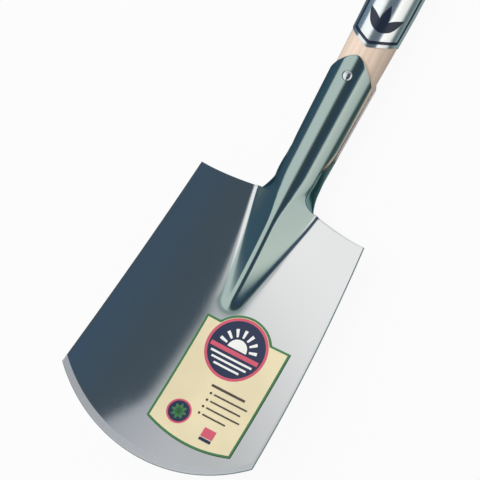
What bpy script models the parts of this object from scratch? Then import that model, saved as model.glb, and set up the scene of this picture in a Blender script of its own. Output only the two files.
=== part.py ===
"""Garden spade: a pressed stainless blade, a strapped ash shaft and a T-shaped grip.

Units are metres and +Z is up. The spade lies on its back, as it does on a bench: the blade's hollow
front faces up, the shaft runs along +Y and the blade's tip points to -Y. The sheet pieces are worked
out in the blade's own frame: x across, y towards the blade's back, z up the blade from its tip.
Distances s run along the shaft from the blade's top edge, positive towards the grip.
"""
from math import acos, atan2, cos, hypot, pi, radians, sin, sqrt, tan

import bmesh
import bpy
from mathutils import Matrix, Vector

# Blade: a dished plate whose sides flare towards a round cutting edge
SHEET = 0.0020                  # thickness of the pressed sheet
SHEET_SLANT = 1.03              # where it leans most with the dish it is this much thicker along y
BLADE_LENGTH = 0.2418           # tip to top edge, at the foot of the frog
SHOULDER_HEIGHT = 0.2350        # tip to the outer corners of the top edge
SHOULDER_HALF_WIDTH = 0.0772
CORNER_HALF_WIDTH = 0.0904      # half the width between the lower corners
CORNER_HEIGHT = 0.0359          # how far the round cutting edge rises to its corners
FLARE_FULLNESS = 0.5            # above 0 the sides bulge a little between shoulder and corner
DISH_BOTTOM = 0.0154            # how far forward the sides stand at the lower corners
DISH_TOP = 0.0137               # the same at the shoulders
BOW = 0.0110                    # how far back the middle of the blade lies behind its two ends
TOP_EDGE_POWER = 1.5            # above 1 the top edge drops mostly near the shoulders

# Frog: the raised socket front that tapers down into the blade
FROG_LENGTH = 0.1000
FROG_HALF_WIDTH = 0.0288
FROG_NOSE_RADIUS = 0.0080       # of its rounded lower end, seen from the front
FROG_NOSE_BLEND = 0.0040        # blending length between the nose and the straight sides
FROG_NOSE_WALL = radians(26.5)  # slope of its walls at the nose; they steepen towards the strap
FROG_RIDGE_RADIUS = 0.0065
RIDGE_WIDENS_FROM = -0.025      # along the shaft from the blade's top edge
RIDGE_WIDENS_TO = 0.025
CREST_BEND = radians(7.5)       # between the frog's crest and the strap's
CREST_BEND_REACH = 0.015
FROG_FILLET = 0.0010            # blending height between the frog's foot and the blade

# Shaft
SHAFT_LEAN = radians(11.5)      # the shaft leans forward out of the blade
SHAFT_SET_FORWARD = 0.0022      # the shaft's axis lies this far in front of the blade's top edge
SHAFT_LENGTH = 0.900
SOCKET_DEPTH = 0.045            # how far the shaft reaches below the blade's top edge
SHAFT_RADIUS = 0.02075
SHAFT_FOOT_PLAY = 0.0007        # the shaft's foot is this much slimmer than the room in the frog
SHAFT_FOOT_CHAMFER = 0.0010
SHAFT_FOOT_FROM = 0.032         # where the shaft starts to narrow into the socket
SHAFT_RADIUS_AT_BLADE = 0.0160
SHAFT_FULL_FROM = 0.180         # where the socket taper ends
SHAFT_NECK_RADIUS = 0.0155
SHAFT_NECK_LENGTH = 0.455       # the long taper up to the grip
SHAFT_FIT = 0.0004              # clearance of the straps round the wood
PART_GAP = 0.0003               # clearance between pieces that touch

# Straps: tongues that run up the front and the back of the shaft
STRAP_TIP = 0.1307              # tip of both tongues above the blade's top edge
STRAP_ROOT_HALF_ARC = 0.0180    # half the front strap's width round the shaft, at its root
STRAP_HALF_ARC = 0.0245         # the same below its tip
STRAP_WIDENS_FROM = 0.026
STRAP_WIDENS_TO = 0.058
STRAP_WALL_ANGLE = radians(75)  # where its flanks leave its round crest, above the root
ROOT_FILLET = 0.0100            # height of the fillet from the blade's top edge into the strap
TONGUE_SLOPE = 0.85             # slope of the tongue's two flanks
TONGUE_TIP_RADIUS = 0.0040
TONGUE_STARTS = 0.100
SEAM_GAP = 0.0005               # between the edges of the two straps where they close the socket

# Back strap
SOCKET_WALL_ANGLE = radians(48) # where the walls leave the round back, at the blade's top edge
SEAM_TOP = 0.044                # above this the socket is plain round
SEAM_OPENS_FROM = 0.028         # here the back strap's edge leaves the seam
ROUND_SOONER = 4                # its section turns plain round in this fraction of the opening
WALL_END_AT_BLADE = 0.0030      # the straight walls end this far behind the shaft's axis
WALL_END_AT_TOP = 0.0060
WRAP_FULLNESS = 2.0             # above 1 the sides bulge out more between wall and seam
BULGE_TIP_RADIUS = 0.0030
BULGE_FILLET = 0.0026
BULGE_LENGTH = 0.105            # the back strap's bulge below the blade's top edge
FLANGE_TOP_HALF_WIDTH = 0.0330
FLANGE_TIP_RADIUS = 0.0140
FLANGE_TIP_BELOW = 0.1180       # lowest point of the flange below the blade's top edge
FLANGE_SETBACK = 0.0020         # the flange's top edge stays this far under the blade's top edge

# Rivet through both straps and the shaft
RIVET_AT = 0.1122
RIVET_RADIUS = 0.0025
RIVET_FIT = 0.0002
RIVET_HEAD_RADIUS = 0.0045
RIVET_HEAD_HEIGHT = 0.0022
RIVET_TAIL_RADIUS = 0.0045
RIVET_TAIL_HEIGHT = 0.0018

# Grip: a turned crossbar on the shaft's tenon, held by a wedge and a steel pin
GRIP_LENGTH = 0.130
GRIP_RADIUS = 0.0180
GRIP_END_RADIUS = 0.0150
GRIP_FACE_RADIUS = 0.0110       # the flat disc at either end of the crossbar
TENON_RADIUS = 0.0110
TENON_FIT = 0.0003
TENON_PROUD = 0.0006            # the tenon stands this far out of the crossbar
TENON_CHAMFER = 0.0005
PIN_RADIUS = 0.0020
PIN_RECESS = 0.0002             # its ends stay this far under the crossbar's surface
PIN_CHAMFER = 0.0004
PIN_FIT = 0.0002
WEDGE_THICKNESS = 0.0030
WEDGE_TIP_THICKNESS = 0.0010
WEDGE_LENGTH = 0.0125
WEDGE_MARGIN = 0.0025           # wood left beside the wedge's two ends
WEDGE_SLOT_ABOVE = 0.0020       # the slot's cutter stands this far out of the tenon
WOOD_FIT = 0.0003               # clearance of a wooden piece in its slot

# Blade label: a thin die-cut sheet on the right half of the blade's front
LABEL_THICKNESS = 0.0003
LABEL_WIDTH = 0.0800
LABEL_HEIGHT = 0.0973
LABEL_LEFT = -0.0104
LABEL_BOTTOM = 0.0334
LABEL_TILT = radians(1.0)
LABEL_BOTTOM_BOW = 0.0070
LABEL_DISC_X = 0.0370           # centre of the label's round top, from the label's left edge
LABEL_DISC_DROP = 0.0160        # and below its top edge
LABEL_DISC_RADIUS = 0.0292

# Shaft band: a metal foil sleeve with a pointed lower edge
BAND_START = 0.1425             # lowest point of the band, at the shaft's front
BAND_HEIGHT = 0.0620
BAND_THICKNESS = 0.0003
BAND_SLOPE = 0.37               # rise of its lower edge round the shaft
BAND_SLOPE_ROUNDING = 0.0030
BAND_SLOPE_REACH = 0.0300       # the lower edge runs level beyond this distance from the front

# Facets
ROUND_SIDES = 48
NECK_STEPS = 6
GRIP_SIDES = 36
RIVET_SIDES = 20
RIVET_ARC_STEPS = 5
PIN_SIDES = 20
LABEL_COLUMNS = 24
LABEL_ROWS = 7
BAND_ROWS = 2
FROG_COLUMNS = 10
FROG_COLUMN_SPREAD = 1.2
FOOT_LEVELS = 9                 # levels at which the shaft's foot is tested against the room in the frog
FIT_STEPS = 9                   # repeats that settle a height which depends on itself
PLATE_COLUMNS = 8
BLADE_ROWS = 22
STRAP_ROWS = 17
TONGUE_ROWS = 6
SOCKET_COLUMNS = 8
WRAP_COLUMNS = 4
FLANGE_COLUMNS = 3
BULGE_ROWS = 13
NARROWEST_FROG_COLUMNS = 0.34   # of the frog's full half width
NARROWEST_BULGE_COLUMNS = 0.35  # of the flange's half width
WIDEST_BULGE_COLUMNS = 0.72

parts = None
cutters = None
rest = None


def clamp(value, low=0.0, high=1.0):
    return max(low, min(high, value))


def smooth(value):
    """Eases from 0 to 1 with level ends."""
    value = clamp(value)
    return value * value * (3 - 2 * value)


def mix(start, end, share):
    return start + (end - start) * share


def soft_positive(value, blend):
    """Zero below 0 and the value above it, with a rounded corner of the given blend height."""
    return 0.5 * (value + sqrt(value * value + blend * blend))


# The blade's surface, as its distance y behind the chord

def blade_half_width(z):
    share = clamp((SHOULDER_HEIGHT - z) / (SHOULDER_HEIGHT - CORNER_HEIGHT))
    return mix(SHOULDER_HALF_WIDTH, CORNER_HALF_WIDTH, share * (1 + FLARE_FULLNESS * (1 - share)))


def dished_plate(x, z):
    middle = SHOULDER_HEIGHT / 2
    dish = mix(DISH_BOTTOM, DISH_TOP, (z - CORNER_HEIGHT) / (SHOULDER_HEIGHT - CORNER_HEIGHT))
    bow = BOW * (1 - ((z - middle) / middle) ** 2)
    return bow - dish * (x / blade_half_width(z)) ** 2


def cutting_edge(x):
    """Height of the round cutting edge at x."""
    radius = (CORNER_HALF_WIDTH ** 2 + CORNER_HEIGHT ** 2) / (2 * CORNER_HEIGHT)
    return radius - sqrt(radius ** 2 - min(abs(x), CORNER_HALF_WIDTH) ** 2)


# The shaft's frame: s along it from the blade's top edge, f in front of its axis

SHAFT_DIRECTION = Vector((0, -sin(SHAFT_LEAN), cos(SHAFT_LEAN)))
SHAFT_FRONT = Vector((0, -cos(SHAFT_LEAN), -sin(SHAFT_LEAN)))
SHAFT_FOOT = Vector((0, -SHAFT_SET_FORWARD, BLADE_LENGTH))
SHAFT_TOP = SHAFT_LENGTH - SOCKET_DEPTH - TENON_PROUD
GRIP_AT = SHAFT_TOP - GRIP_RADIUS
NECK_FROM = GRIP_AT - SHAFT_NECK_LENGTH


def by_shaft(x, s, f):
    return SHAFT_FOOT + SHAFT_DIRECTION * s + SHAFT_FRONT * f + Vector((x, 0, 0))


def shaft_radius(s):
    """Radius of the shaft between the blade's top edge and the start of its neck."""
    return mix(SHAFT_RADIUS_AT_BLADE, SHAFT_RADIUS, clamp(s / SHAFT_FULL_FROM))


def strap_radius(s):
    """Outer radius of both straps."""
    return shaft_radius(s) + SHAFT_FIT + SHEET


def arc_and_tangent(along, radius, angle):
    """A round crest that leaves into straight walls at an angle; x across and height over its centre."""
    if along <= radius * angle:
        return radius * sin(along / radius), radius * cos(along / radius)
    rest_of_it = along - radius * angle
    return (radius * sin(angle) + rest_of_it * cos(angle),
            radius * cos(angle) - rest_of_it * sin(angle))


def crest_drop(x, radius, angle):
    """How far the same section lies under its crest at x."""
    if abs(x) <= radius * sin(angle):
        return radius - sqrt(radius ** 2 - x ** 2)
    return radius * (1 - cos(angle)) + (abs(x) - radius * sin(angle)) * tan(angle)


def wall_angle(radius, height, half_width):
    """Angle at which a straight wall leaves a round crest to reach its foot."""
    centre = height - radius
    return atan2(half_width, -centre) - acos(radius / hypot(half_width, centre))


# The frog

def ridge_radius(s):
    """The front sheet's crest, a ridge on the frog, grows round where the strap takes the shaft."""
    growth = smooth((s - RIDGE_WIDENS_FROM) / (RIDGE_WIDENS_TO - RIDGE_WIDENS_FROM))
    return mix(FROG_RIDGE_RADIUS, strap_radius(s), growth)


def crest_sag(s):
    """Rounds the bend between the frog's crest and the strap's."""
    return max(CREST_BEND_REACH - abs(s), 0) ** 2 / (4 * CREST_BEND_REACH) * tan(CREST_BEND)


FROG_NOSE = BLADE_LENGTH - FROG_LENGTH + FROG_NOSE_RADIUS
FROG_CREST = by_shaft(0, 0, strap_radius(0))
FROG_HEIGHT = dished_plate(0, FROG_CREST.z) - FROG_CREST.y
FROG_WALL = wall_angle(ridge_radius(0), FROG_HEIGHT, FROG_HALF_WIDTH)
FROG_TAPER = (FROG_HALF_WIDTH - FROG_NOSE_RADIUS) / (FROG_CREST.z - FROG_NOSE)


def frog_half_width(z):
    return FROG_NOSE_RADIUS + FROG_TAPER * soft_positive(z - FROG_NOSE, FROG_NOSE_BLEND)


def frog_wall(z):
    return mix(FROG_NOSE_WALL, FROG_WALL, clamp((z - FROG_NOSE) / (FROG_CREST.z - FROG_NOSE)))


def frog_rise(x, z):
    """How far the frog stands in front of the plate, from the shaft's level beside the same point."""
    behind = min(crest_drop(x, ridge_radius(0), FROG_WALL), FROG_HEIGHT)
    s = (z - FROG_CREST.z - behind * tan(SHAFT_LEAN)) * cos(SHAFT_LEAN)
    radius = ridge_radius(s)
    wall = frog_wall(z)
    top = radius * (1 - cos(wall)) + (frog_half_width(z) - radius * sin(wall)) * tan(wall)
    reach = hypot(x, soft_positive(FROG_NOSE - z, FROG_NOSE_BLEND))
    return soft_positive(top - crest_sag(s) - crest_drop(reach, radius, wall), FROG_FILLET)


def blade_front(x, z):
    return Vector((x, dished_plate(x, z) - frog_rise(x, z), z))


def top_edge(x):
    """Height of the blade's top edge at x, and below the strap the level where the strap begins."""
    z = BLADE_LENGTH
    if abs(x) <= FROG_HALF_WIDTH:
        for _ in range(FIT_STEPS):
            y = blade_front(x, z).y
            z = SHAFT_FOOT.z + (y - SHAFT_FOOT.y) * tan(SHAFT_LEAN)
        return z
    inner = top_edge(FROG_HALF_WIDTH)
    share = clamp((SHOULDER_HALF_WIDTH - abs(x)) / (SHOULDER_HALF_WIDTH - FROG_HALF_WIDTH))
    return mix(SHOULDER_HEIGHT, inner, share ** TOP_EDGE_POWER)


# The front strap

def tongue_end(along):
    """Distance s of the tongue's rim at a distance round the shaft."""
    fall = sqrt((TONGUE_SLOPE * along) ** 2 + TONGUE_TIP_RADIUS ** 2) - TONGUE_TIP_RADIUS
    return STRAP_TIP - fall


def front_wall_angle(s):
    return mix(FROG_WALL, STRAP_WALL_ANGLE, smooth(s / STRAP_WIDENS_FROM))


def front_half_arc(s):
    """Half the width of the front strap, measured along its section."""
    widening = smooth((s - STRAP_WIDENS_FROM) / (STRAP_WIDENS_TO - STRAP_WIDENS_FROM))
    plain = mix(STRAP_ROOT_HALF_ARC, STRAP_HALF_ARC, widening)
    if s >= ROOT_FILLET:
        return plain
    round_part = ridge_radius(0) * FROG_WALL
    foot = round_part + (FROG_HALF_WIDTH - ridge_radius(0) * sin(FROG_WALL)) / cos(FROG_WALL)
    fillet = 1 - sqrt(1 - (1 - s / ROOT_FILLET) ** 2)
    return mix(plain, foot, fillet)


def front_section(s, share):
    """Point of the front strap's outer face; share runs from 0 at its crest to 1 at its edge."""
    x, f = arc_and_tangent(front_half_arc(s) * share, ridge_radius(s), front_wall_angle(s))
    return x, s, f + strap_radius(s) - ridge_radius(s) - crest_sag(s)


def root_offset(s, along):
    """What the strap's section moves by near its root, so that it starts on the frog's own surface."""
    if s >= ROOT_FILLET:
        return Vector((0, 0, 0))
    share = along / front_half_arc(0)
    x = front_section(0, share)[0]
    start = blade_front(x, top_edge(x)) - by_shaft(*front_section(0, share))
    return start * (1 - smooth(s / ROOT_FILLET))


def strap_levels():
    """Rows of the front strap: close together in the root fillet, wider above."""
    fillet = [ROOT_FILLET * (1 - cos(pi / 2 * i / 7)) for i in range(1, 8)]
    above = STRAP_ROWS - 7
    return fillet + [mix(ROOT_FILLET, TONGUE_STARTS, (i + 1) / above) for i in range(above)]


def frog_column_shares():
    """Closer together at the crest."""
    return [(i / FROG_COLUMNS) ** FROG_COLUMN_SPREAD for i in range(FROG_COLUMNS + 1)]


def blade_rows():
    """Half of the front sheet, from the crest outwards; rows run from the cutting edge to the tongue."""
    rows = []
    plate = [(i + 1) / PLATE_COLUMNS for i in range(PLATE_COLUMNS)]
    narrowest = FROG_HALF_WIDTH * NARROWEST_FROG_COLUMNS
    for row in range(BLADE_ROWS + 1):
        share = row / BLADE_ROWS
        level = mix(0.0, BLADE_LENGTH, share)
        inner = max(narrowest, frog_half_width(level) + FROG_FILLET * (1 - share))
        inner = min(inner, FROG_HALF_WIDTH)
        outer = blade_half_width(mix(CORNER_HEIGHT, SHOULDER_HEIGHT, share))
        across = [inner * u for u in frog_column_shares()]
        across += [mix(inner, outer, u) for u in plate]
        if row == BLADE_ROWS:
            across[:FROG_COLUMNS + 1] = [front_section(0, u)[0] for u in frog_column_shares()]
        points = []
        for x in across:
            z = mix(cutting_edge(x), top_edge(x), share)
            points.append(blade_front(x, z))
        rows.append(points)
    for s in strap_levels():
        rows.append([by_shaft(*front_section(s, u)) + root_offset(s, front_half_arc(s) * u)
                     for u in frog_column_shares()])
    for row in range(1, TONGUE_ROWS + 1):
        points = []
        for u in frog_column_shares():
            along = STRAP_HALF_ARC * u
            s = mix(TONGUE_STARTS, tongue_end(along), row / TONGUE_ROWS)
            angle = along / strap_radius(s)
            points.append(by_shaft(strap_radius(s) * sin(angle), s, strap_radius(s) * cos(angle)))
        rows.append(points)
    return rows


# The back strap: outer face, b behind the shaft's axis

def socket_wall_angle(s):
    return mix(SOCKET_WALL_ANGLE, pi / 2, clamp(s / SEAM_TOP))


BULGE_CREST = by_shaft(0, 0, -strap_radius(0))


def flange_face(x, z):
    return dished_plate(x, z) + SHEET * SHEET_SLANT + PART_GAP + SHEET


BULGE_HEIGHT = BULGE_CREST.y - flange_face(0, BULGE_CREST.z)


def bulge_height(z):
    """Height of the bulge over the flange; negative below its end."""
    return BULGE_HEIGHT * (1 - ((BULGE_CREST.z - z) / BULGE_LENGTH) ** 2)


def bulge_rise(x, z):
    height = bulge_height(z)
    radius = max(strap_radius(0) * height / BULGE_HEIGHT, BULGE_TIP_RADIUS)
    return soft_positive(height - crest_drop(x, radius, SOCKET_WALL_ANGLE), BULGE_FILLET)


def bulge_half_width(z):
    height = max(bulge_height(z), 0)
    radius = max(strap_radius(0) * height / BULGE_HEIGHT, BULGE_TIP_RADIUS)
    wall = (height - radius * (1 - cos(SOCKET_WALL_ANGLE))) / tan(SOCKET_WALL_ANGLE)
    return max(radius * sin(SOCKET_WALL_ANGLE) + wall, 0.004)


def back_face(x, z):
    return Vector((x, flange_face(x, z) + bulge_rise(x, z), z))


def wrap_section(s, share):
    """From the socket's wide side, share 0, forward to the seam at the front strap's edge, share 1."""
    radius = strap_radius(s)
    angle = socket_wall_angle(s)
    wide = wall_point(s)
    out = Vector((cos(angle), sin(angle)))
    edge_x, _, edge_f = front_section(s, 1)
    front_angle = min(front_half_arc(s) / ridge_radius(s), front_wall_angle(s))
    run = Vector((cos(front_angle), -sin(front_angle)))
    edge = Vector((edge_x, edge_f)) + run * SEAM_GAP
    # the two tangent lines meet in the corner that the wrap rounds off
    offset = wide - edge
    cross = run.x * out.y - run.y * out.x
    reach = (offset.x * out.y - offset.y * out.x) / cross
    corner = edge + run * reach
    weights = [(1 - share) ** 2, 2 * share * (1 - share) * WRAP_FULLNESS, share ** 2]
    point = wide * weights[0] + corner * weights[1] + edge * weights[2]
    return point / sum(weights)


def wall_point(s):
    """The end of the socket's straight wall, a little behind the shaft's axis."""
    radius = strap_radius(s)
    angle = socket_wall_angle(s)
    behind = mix(WALL_END_AT_BLADE, WALL_END_AT_TOP, clamp(s / SEAM_TOP))
    reach = max((radius * cos(angle) - behind) / sin(angle), 0)
    if reach == 0:
        turn = acos(behind / radius)
        return Vector((radius * sin(turn), -behind))
    return Vector((radius * sin(angle) + reach * cos(angle), -behind))


def wall_length(s):
    radius = strap_radius(s)
    angle = socket_wall_angle(s)
    end = wall_point(s)
    turn = min(angle, atan2(end.x, -end.y))
    straight = hypot(end.x - radius * sin(turn), end.y + radius * cos(turn))
    return radius * turn + straight


def back_section(s, share):
    """Point of the socket's outer face from its back, share 0, through its side, to the seam, share 1."""
    side = SOCKET_COLUMNS / (SOCKET_COLUMNS + WRAP_COLUMNS)
    if share <= side:
        x, b = arc_and_tangent(wall_length(s) * share / side, strap_radius(s), socket_wall_angle(s))
        return by_shaft(x, s, -b)
    point = wrap_section(s, (share - side) / (1 - side))
    return by_shaft(point.x, s, point.y)


def back_round(s, along):
    angle = along / strap_radius(s)
    return by_shaft(strap_radius(s) * sin(angle), s, -strap_radius(s) * cos(angle))


def socket_levels():
    """Rows of the closed socket: close together in the root fillet and where the seam opens."""
    fillet = [ROOT_FILLET * (1 - cos(pi / 2 * i / 6)) for i in range(2, 7)]
    closed = [mix(ROOT_FILLET, SEAM_OPENS_FROM, (i + 1) / 3) for i in range(3)]
    opening = [mix(SEAM_OPENS_FROM, STRAP_WIDENS_TO, (i + 1) / 8) for i in range(8)]
    return fillet + closed + opening


def back_strap_grids():
    """Half of the back strap: its middle, from the flange up to the tongue, and the flange beside it."""
    columns = [i / (SOCKET_COLUMNS + WRAP_COLUMNS) for i in range(SOCKET_COLUMNS + WRAP_COLUMNS + 1)]
    rows = []
    flange = []
    flange_tip = BLADE_LENGTH - FLANGE_TIP_BELOW
    for row in range(BULGE_ROWS + 1):
        share = row / BULGE_ROWS
        level = mix(flange_tip + FLANGE_TIP_RADIUS, BLADE_LENGTH, share)
        outer = mix(FLANGE_TIP_RADIUS, FLANGE_TOP_HALF_WIDTH, share)
        inner = clamp(bulge_half_width(level), outer * NARROWEST_BULGE_COLUMNS,
                      outer * WIDEST_BULGE_COLUMNS)
        across = [inner * i / SOCKET_COLUMNS for i in range(SOCKET_COLUMNS + 1)]
        across += [mix(inner, outer, (i + 1) / FLANGE_COLUMNS) for i in range(FLANGE_COLUMNS)]
        if row == BULGE_ROWS:
            for i in range(SOCKET_COLUMNS + 1):
                length = wall_length(0) * i / SOCKET_COLUMNS
                across[i] = arc_and_tangent(length, strap_radius(0), SOCKET_WALL_ANGLE)[0]
        points = []
        for column, x in enumerate(across):
            ends = min(x, FLANGE_TIP_RADIUS)
            low = flange_tip + FLANGE_TIP_RADIUS - sqrt(FLANGE_TIP_RADIUS ** 2 - ends ** 2)
            if column <= SOCKET_COLUMNS:
                y = flange_face(x, BLADE_LENGTH) + bulge_rise(x, BLADE_LENGTH)
                high = SHAFT_FOOT.z + (y - SHAFT_FOOT.y) * tan(SHAFT_LEAN)
            else:
                high = top_edge(x) - FLANGE_SETBACK
            points.append(back_face(x, mix(low, high, share)))
        rows.append(points[:SOCKET_COLUMNS + 1])
        flange.append(points[SOCKET_COLUMNS:])
    top_row = rows[-1][:SOCKET_COLUMNS + 1]
    plain_row = [back_section(0, u) for u in columns[:SOCKET_COLUMNS + 1]]
    for s in socket_levels():
        fade = 1 - smooth(s / ROOT_FILLET)
        opening = smooth((s - SEAM_OPENS_FROM) / (STRAP_WIDENS_TO - SEAM_OPENS_FROM))
        points = []
        for i, u in enumerate(columns):
            closed = back_section(s, u)
            if i <= SOCKET_COLUMNS:
                closed = closed + (top_row[i] - plain_row[i]) * fade
            if opening > 0:
                full = wall_length(s) + hypot(*(wrap_section(s, 1) - wall_point(s)))
                along = u * mix(full, STRAP_HALF_ARC, opening)
                closed = closed.lerp(back_round(s, along), clamp(opening * ROUND_SOONER))
            points.append(closed)
        rows.append(points)
    plain_count = 4
    for i in range(plain_count):
        s = mix(STRAP_WIDENS_TO, TONGUE_STARTS, (i + 1) / plain_count)
        rows.append([back_round(s, STRAP_HALF_ARC * u) for u in columns])
    for row in range(1, TONGUE_ROWS + 1):
        points = []
        for u in columns:
            along = STRAP_HALF_ARC * u
            s = mix(TONGUE_STARTS, tongue_end(along), row / TONGUE_ROWS)
            points.append(back_round(s, along))
        rows.append(points)
    return [rows, flange]


# Making objects

def material(name, colour, roughness, metallic=0.0):
    made = bpy.data.materials.new(name)
    made.use_nodes = True
    shader = made.node_tree.nodes["Principled BSDF"]
    shader.inputs["Base Color"].default_value = (*colour, 1)
    shader.inputs["Roughness"].default_value = roughness
    shader.inputs["Metallic"].default_value = metallic
    made.diffuse_color = (*colour, 1)
    made.roughness = roughness
    made.metallic = metallic
    return made


def add_part(name, mesh, finish):
    made = bpy.data.objects.new(name, mesh)
    mesh.materials.append(finish)
    parts.objects.link(made)
    made.parent = rest
    return made


def smooth_shading(mesh, sharp_from=40):
    mesh.shade_smooth()
    mesh.set_sharp_from_angle(angle=radians(sharp_from))


def half_sheet(name, grids, flip):
    """An open surface from grids of points, joined where their points meet.

    Each grid is a list of rows; a row ends early where the sheet does.
    """
    bm = bmesh.new()
    for rows in grids:
        verts = [[bm.verts.new(point) for point in row] for row in rows]
        for low, high in zip(verts, verts[1:]):
            for i in range(min(len(low), len(high)) - 1):
                corners = [low[i], low[i + 1], high[i + 1], high[i]]
                bm.faces.new(corners[::-1] if flip else corners)
    bmesh.ops.remove_doubles(bm, verts=bm.verts, dist=0.000001)
    bmesh.ops.delete(bm, geom=[vertex for vertex in bm.verts if not vertex.link_faces], context='VERTS')
    mesh = bpy.data.meshes.new(name)
    bm.to_mesh(mesh)
    bm.free()
    return mesh


def mirrored_sheet(name, grids, finish, thickness, flip=False):
    """The half surface mirrored over x = 0 and given its thickness behind its outer face."""
    made = add_part(name, half_sheet(name, grids, flip), finish)
    mirror = made.modifiers.new("mirror", 'MIRROR')
    mirror.use_axis = (True, False, False)
    mirror.use_clip = True
    mirror.merge_threshold = 0.00001
    shell = made.modifiers.new("thickness", 'SOLIDIFY')
    shell.thickness = thickness
    shell.offset = -1
    shell.use_even_offset = True
    shell.use_quality_normals = True
    smooth_shading(made.data)
    return made


def turned(name, profile, finish, sides=ROUND_SIDES):
    """A profile of (radius, height) points from top to bottom, turned about Z."""
    bm = bmesh.new()
    points = [bm.verts.new((radius, 0, height)) for radius, height in profile]
    for first, second in zip(points, points[1:]):
        bm.edges.new((first, second))
    mesh = bpy.data.meshes.new(name)
    bm.to_mesh(mesh)
    bm.free()
    made = add_part(name, mesh, finish)
    screw = made.modifiers.new("turn", 'SCREW')
    screw.steps = sides
    screw.render_steps = sides
    screw.use_merge_vertices = True
    screw.merge_threshold = 0.00001
    return made


def along_shaft(made, s):
    """Sets a turned piece's own Z on the shaft's axis, its zero at s."""
    made.matrix_local = Matrix.Translation(by_shaft(0, s, 0)) @ Matrix.Rotation(SHAFT_LEAN, 4, 'X')


def through_front(made, s, f=0.0):
    """Sets a turned piece's own Z square through the shaft, pointing to its front."""
    turn = Matrix.Rotation(SHAFT_LEAN, 4, 'X') @ Matrix.Rotation(pi / 2, 4, 'X')
    made.matrix_local = Matrix.Translation(by_shaft(0, s, f)) @ turn


def cylinder_cutter(name, radius, length):
    bm = bmesh.new()
    bmesh.ops.create_cone(bm, cap_ends=True, segments=ROUND_SIDES // 2, radius1=radius, radius2=radius,
                          depth=length)
    return add_cutter(name, bm)


def add_cutter(name, bm):
    mesh = bpy.data.meshes.new(name)
    bm.to_mesh(mesh)
    bm.free()
    made = bpy.data.objects.new(name, mesh)
    made.hide_render = True
    made.display_type = 'WIRE'
    made.parent = rest
    cutters.objects.link(made)
    return made


def cut(made, cutter):
    boolean = made.modifiers.new(cutter.name, 'BOOLEAN')
    boolean.operation = 'DIFFERENCE'
    boolean.solver = 'EXACT'
    boolean.object = cutter


# The pieces

def make_blade(finish):
    return mirrored_sheet("blade", [blade_rows()], finish, SHEET)


def make_back_strap(finish):
    return mirrored_sheet("back_strap", back_strap_grids(), finish, SHEET, flip=True)


def room_in_frog(s):
    """Radius that the frog's ridge and walls leave round the shaft's axis."""
    axis = by_shaft(0, s, 0)
    reach = SHAFT_RADIUS_AT_BLADE
    for _ in range(FIT_STEPS):
        z = axis.z + SHAFT_FRONT.z * reach
        reach = (axis.y - blade_front(0, z).y) / cos(SHAFT_LEAN)
    ridge = ridge_radius(s)
    return ridge + (reach - ridge) * cos(frog_wall(z)) - SHEET - SHAFT_FOOT_PLAY


def foot_radius():
    """Radius at the end of the steepest straight taper that the room in the frog asks for."""
    start = shaft_radius(SHAFT_FOOT_FROM)
    levels = [-SOCKET_DEPTH * i / FOOT_LEVELS for i in range(FOOT_LEVELS + 1)]
    taper = max((start - room_in_frog(s)) / (SHAFT_FOOT_FROM - s) for s in levels)
    return start - max(taper, 0) * (SHAFT_FOOT_FROM + SOCKET_DEPTH)


def make_shaft(finish):
    foot = foot_radius()
    neck_top = GRIP_AT - sqrt((GRIP_RADIUS + PART_GAP) ** 2 - SHAFT_NECK_RADIUS ** 2) / 2
    top = SHAFT_TOP + TENON_PROUD
    profile = [(0, top), (TENON_RADIUS - TENON_CHAMFER, top), (TENON_RADIUS, top - TENON_CHAMFER),
               (TENON_RADIUS, neck_top), (SHAFT_NECK_RADIUS, neck_top)]
    profile += [(mix(SHAFT_NECK_RADIUS, SHAFT_RADIUS, smooth(i / NECK_STEPS)),
                 mix(neck_top, NECK_FROM, i / NECK_STEPS)) for i in range(1, NECK_STEPS + 1)]
    profile += [(SHAFT_RADIUS, SHAFT_FULL_FROM), (shaft_radius(SHAFT_FOOT_FROM), SHAFT_FOOT_FROM)]
    profile += [(foot, SHAFT_FOOT_CHAMFER - SOCKET_DEPTH), (foot - SHAFT_FOOT_CHAMFER, -SOCKET_DEPTH),
                (0, -SOCKET_DEPTH)]
    made = turned("shaft", profile, finish)
    along_shaft(made, 0)
    smooth_shading(made.data)
    return made


def make_grip(finish):
    """The crossbar lies across the shaft; its profile is turned about its own axis."""
    half = GRIP_LENGTH / 2
    round_end = GRIP_END_RADIUS - GRIP_FACE_RADIUS
    upper = [(0, half)]
    upper += [(GRIP_FACE_RADIUS + round_end * sin(pi / 2 * i / 3),
               half - round_end * (1 - cos(pi / 2 * i / 3))) for i in range(4)]
    upper += [(mix(GRIP_END_RADIUS, GRIP_RADIUS, smooth(i / 5)), mix(half - round_end, 0, i / 5))
              for i in range(1, 6)]
    profile = upper + [(radius, -height) for radius, height in reversed(upper[:-1])]
    made = turned("grip", profile, finish, GRIP_SIDES)
    turn = Matrix.Rotation(SHAFT_LEAN, 4, 'X') @ Matrix.Rotation(pi / 2, 4, 'Y')
    made.matrix_local = Matrix.Translation(by_shaft(0, GRIP_AT, 0)) @ turn
    smooth_shading(made.data)
    return made


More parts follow.
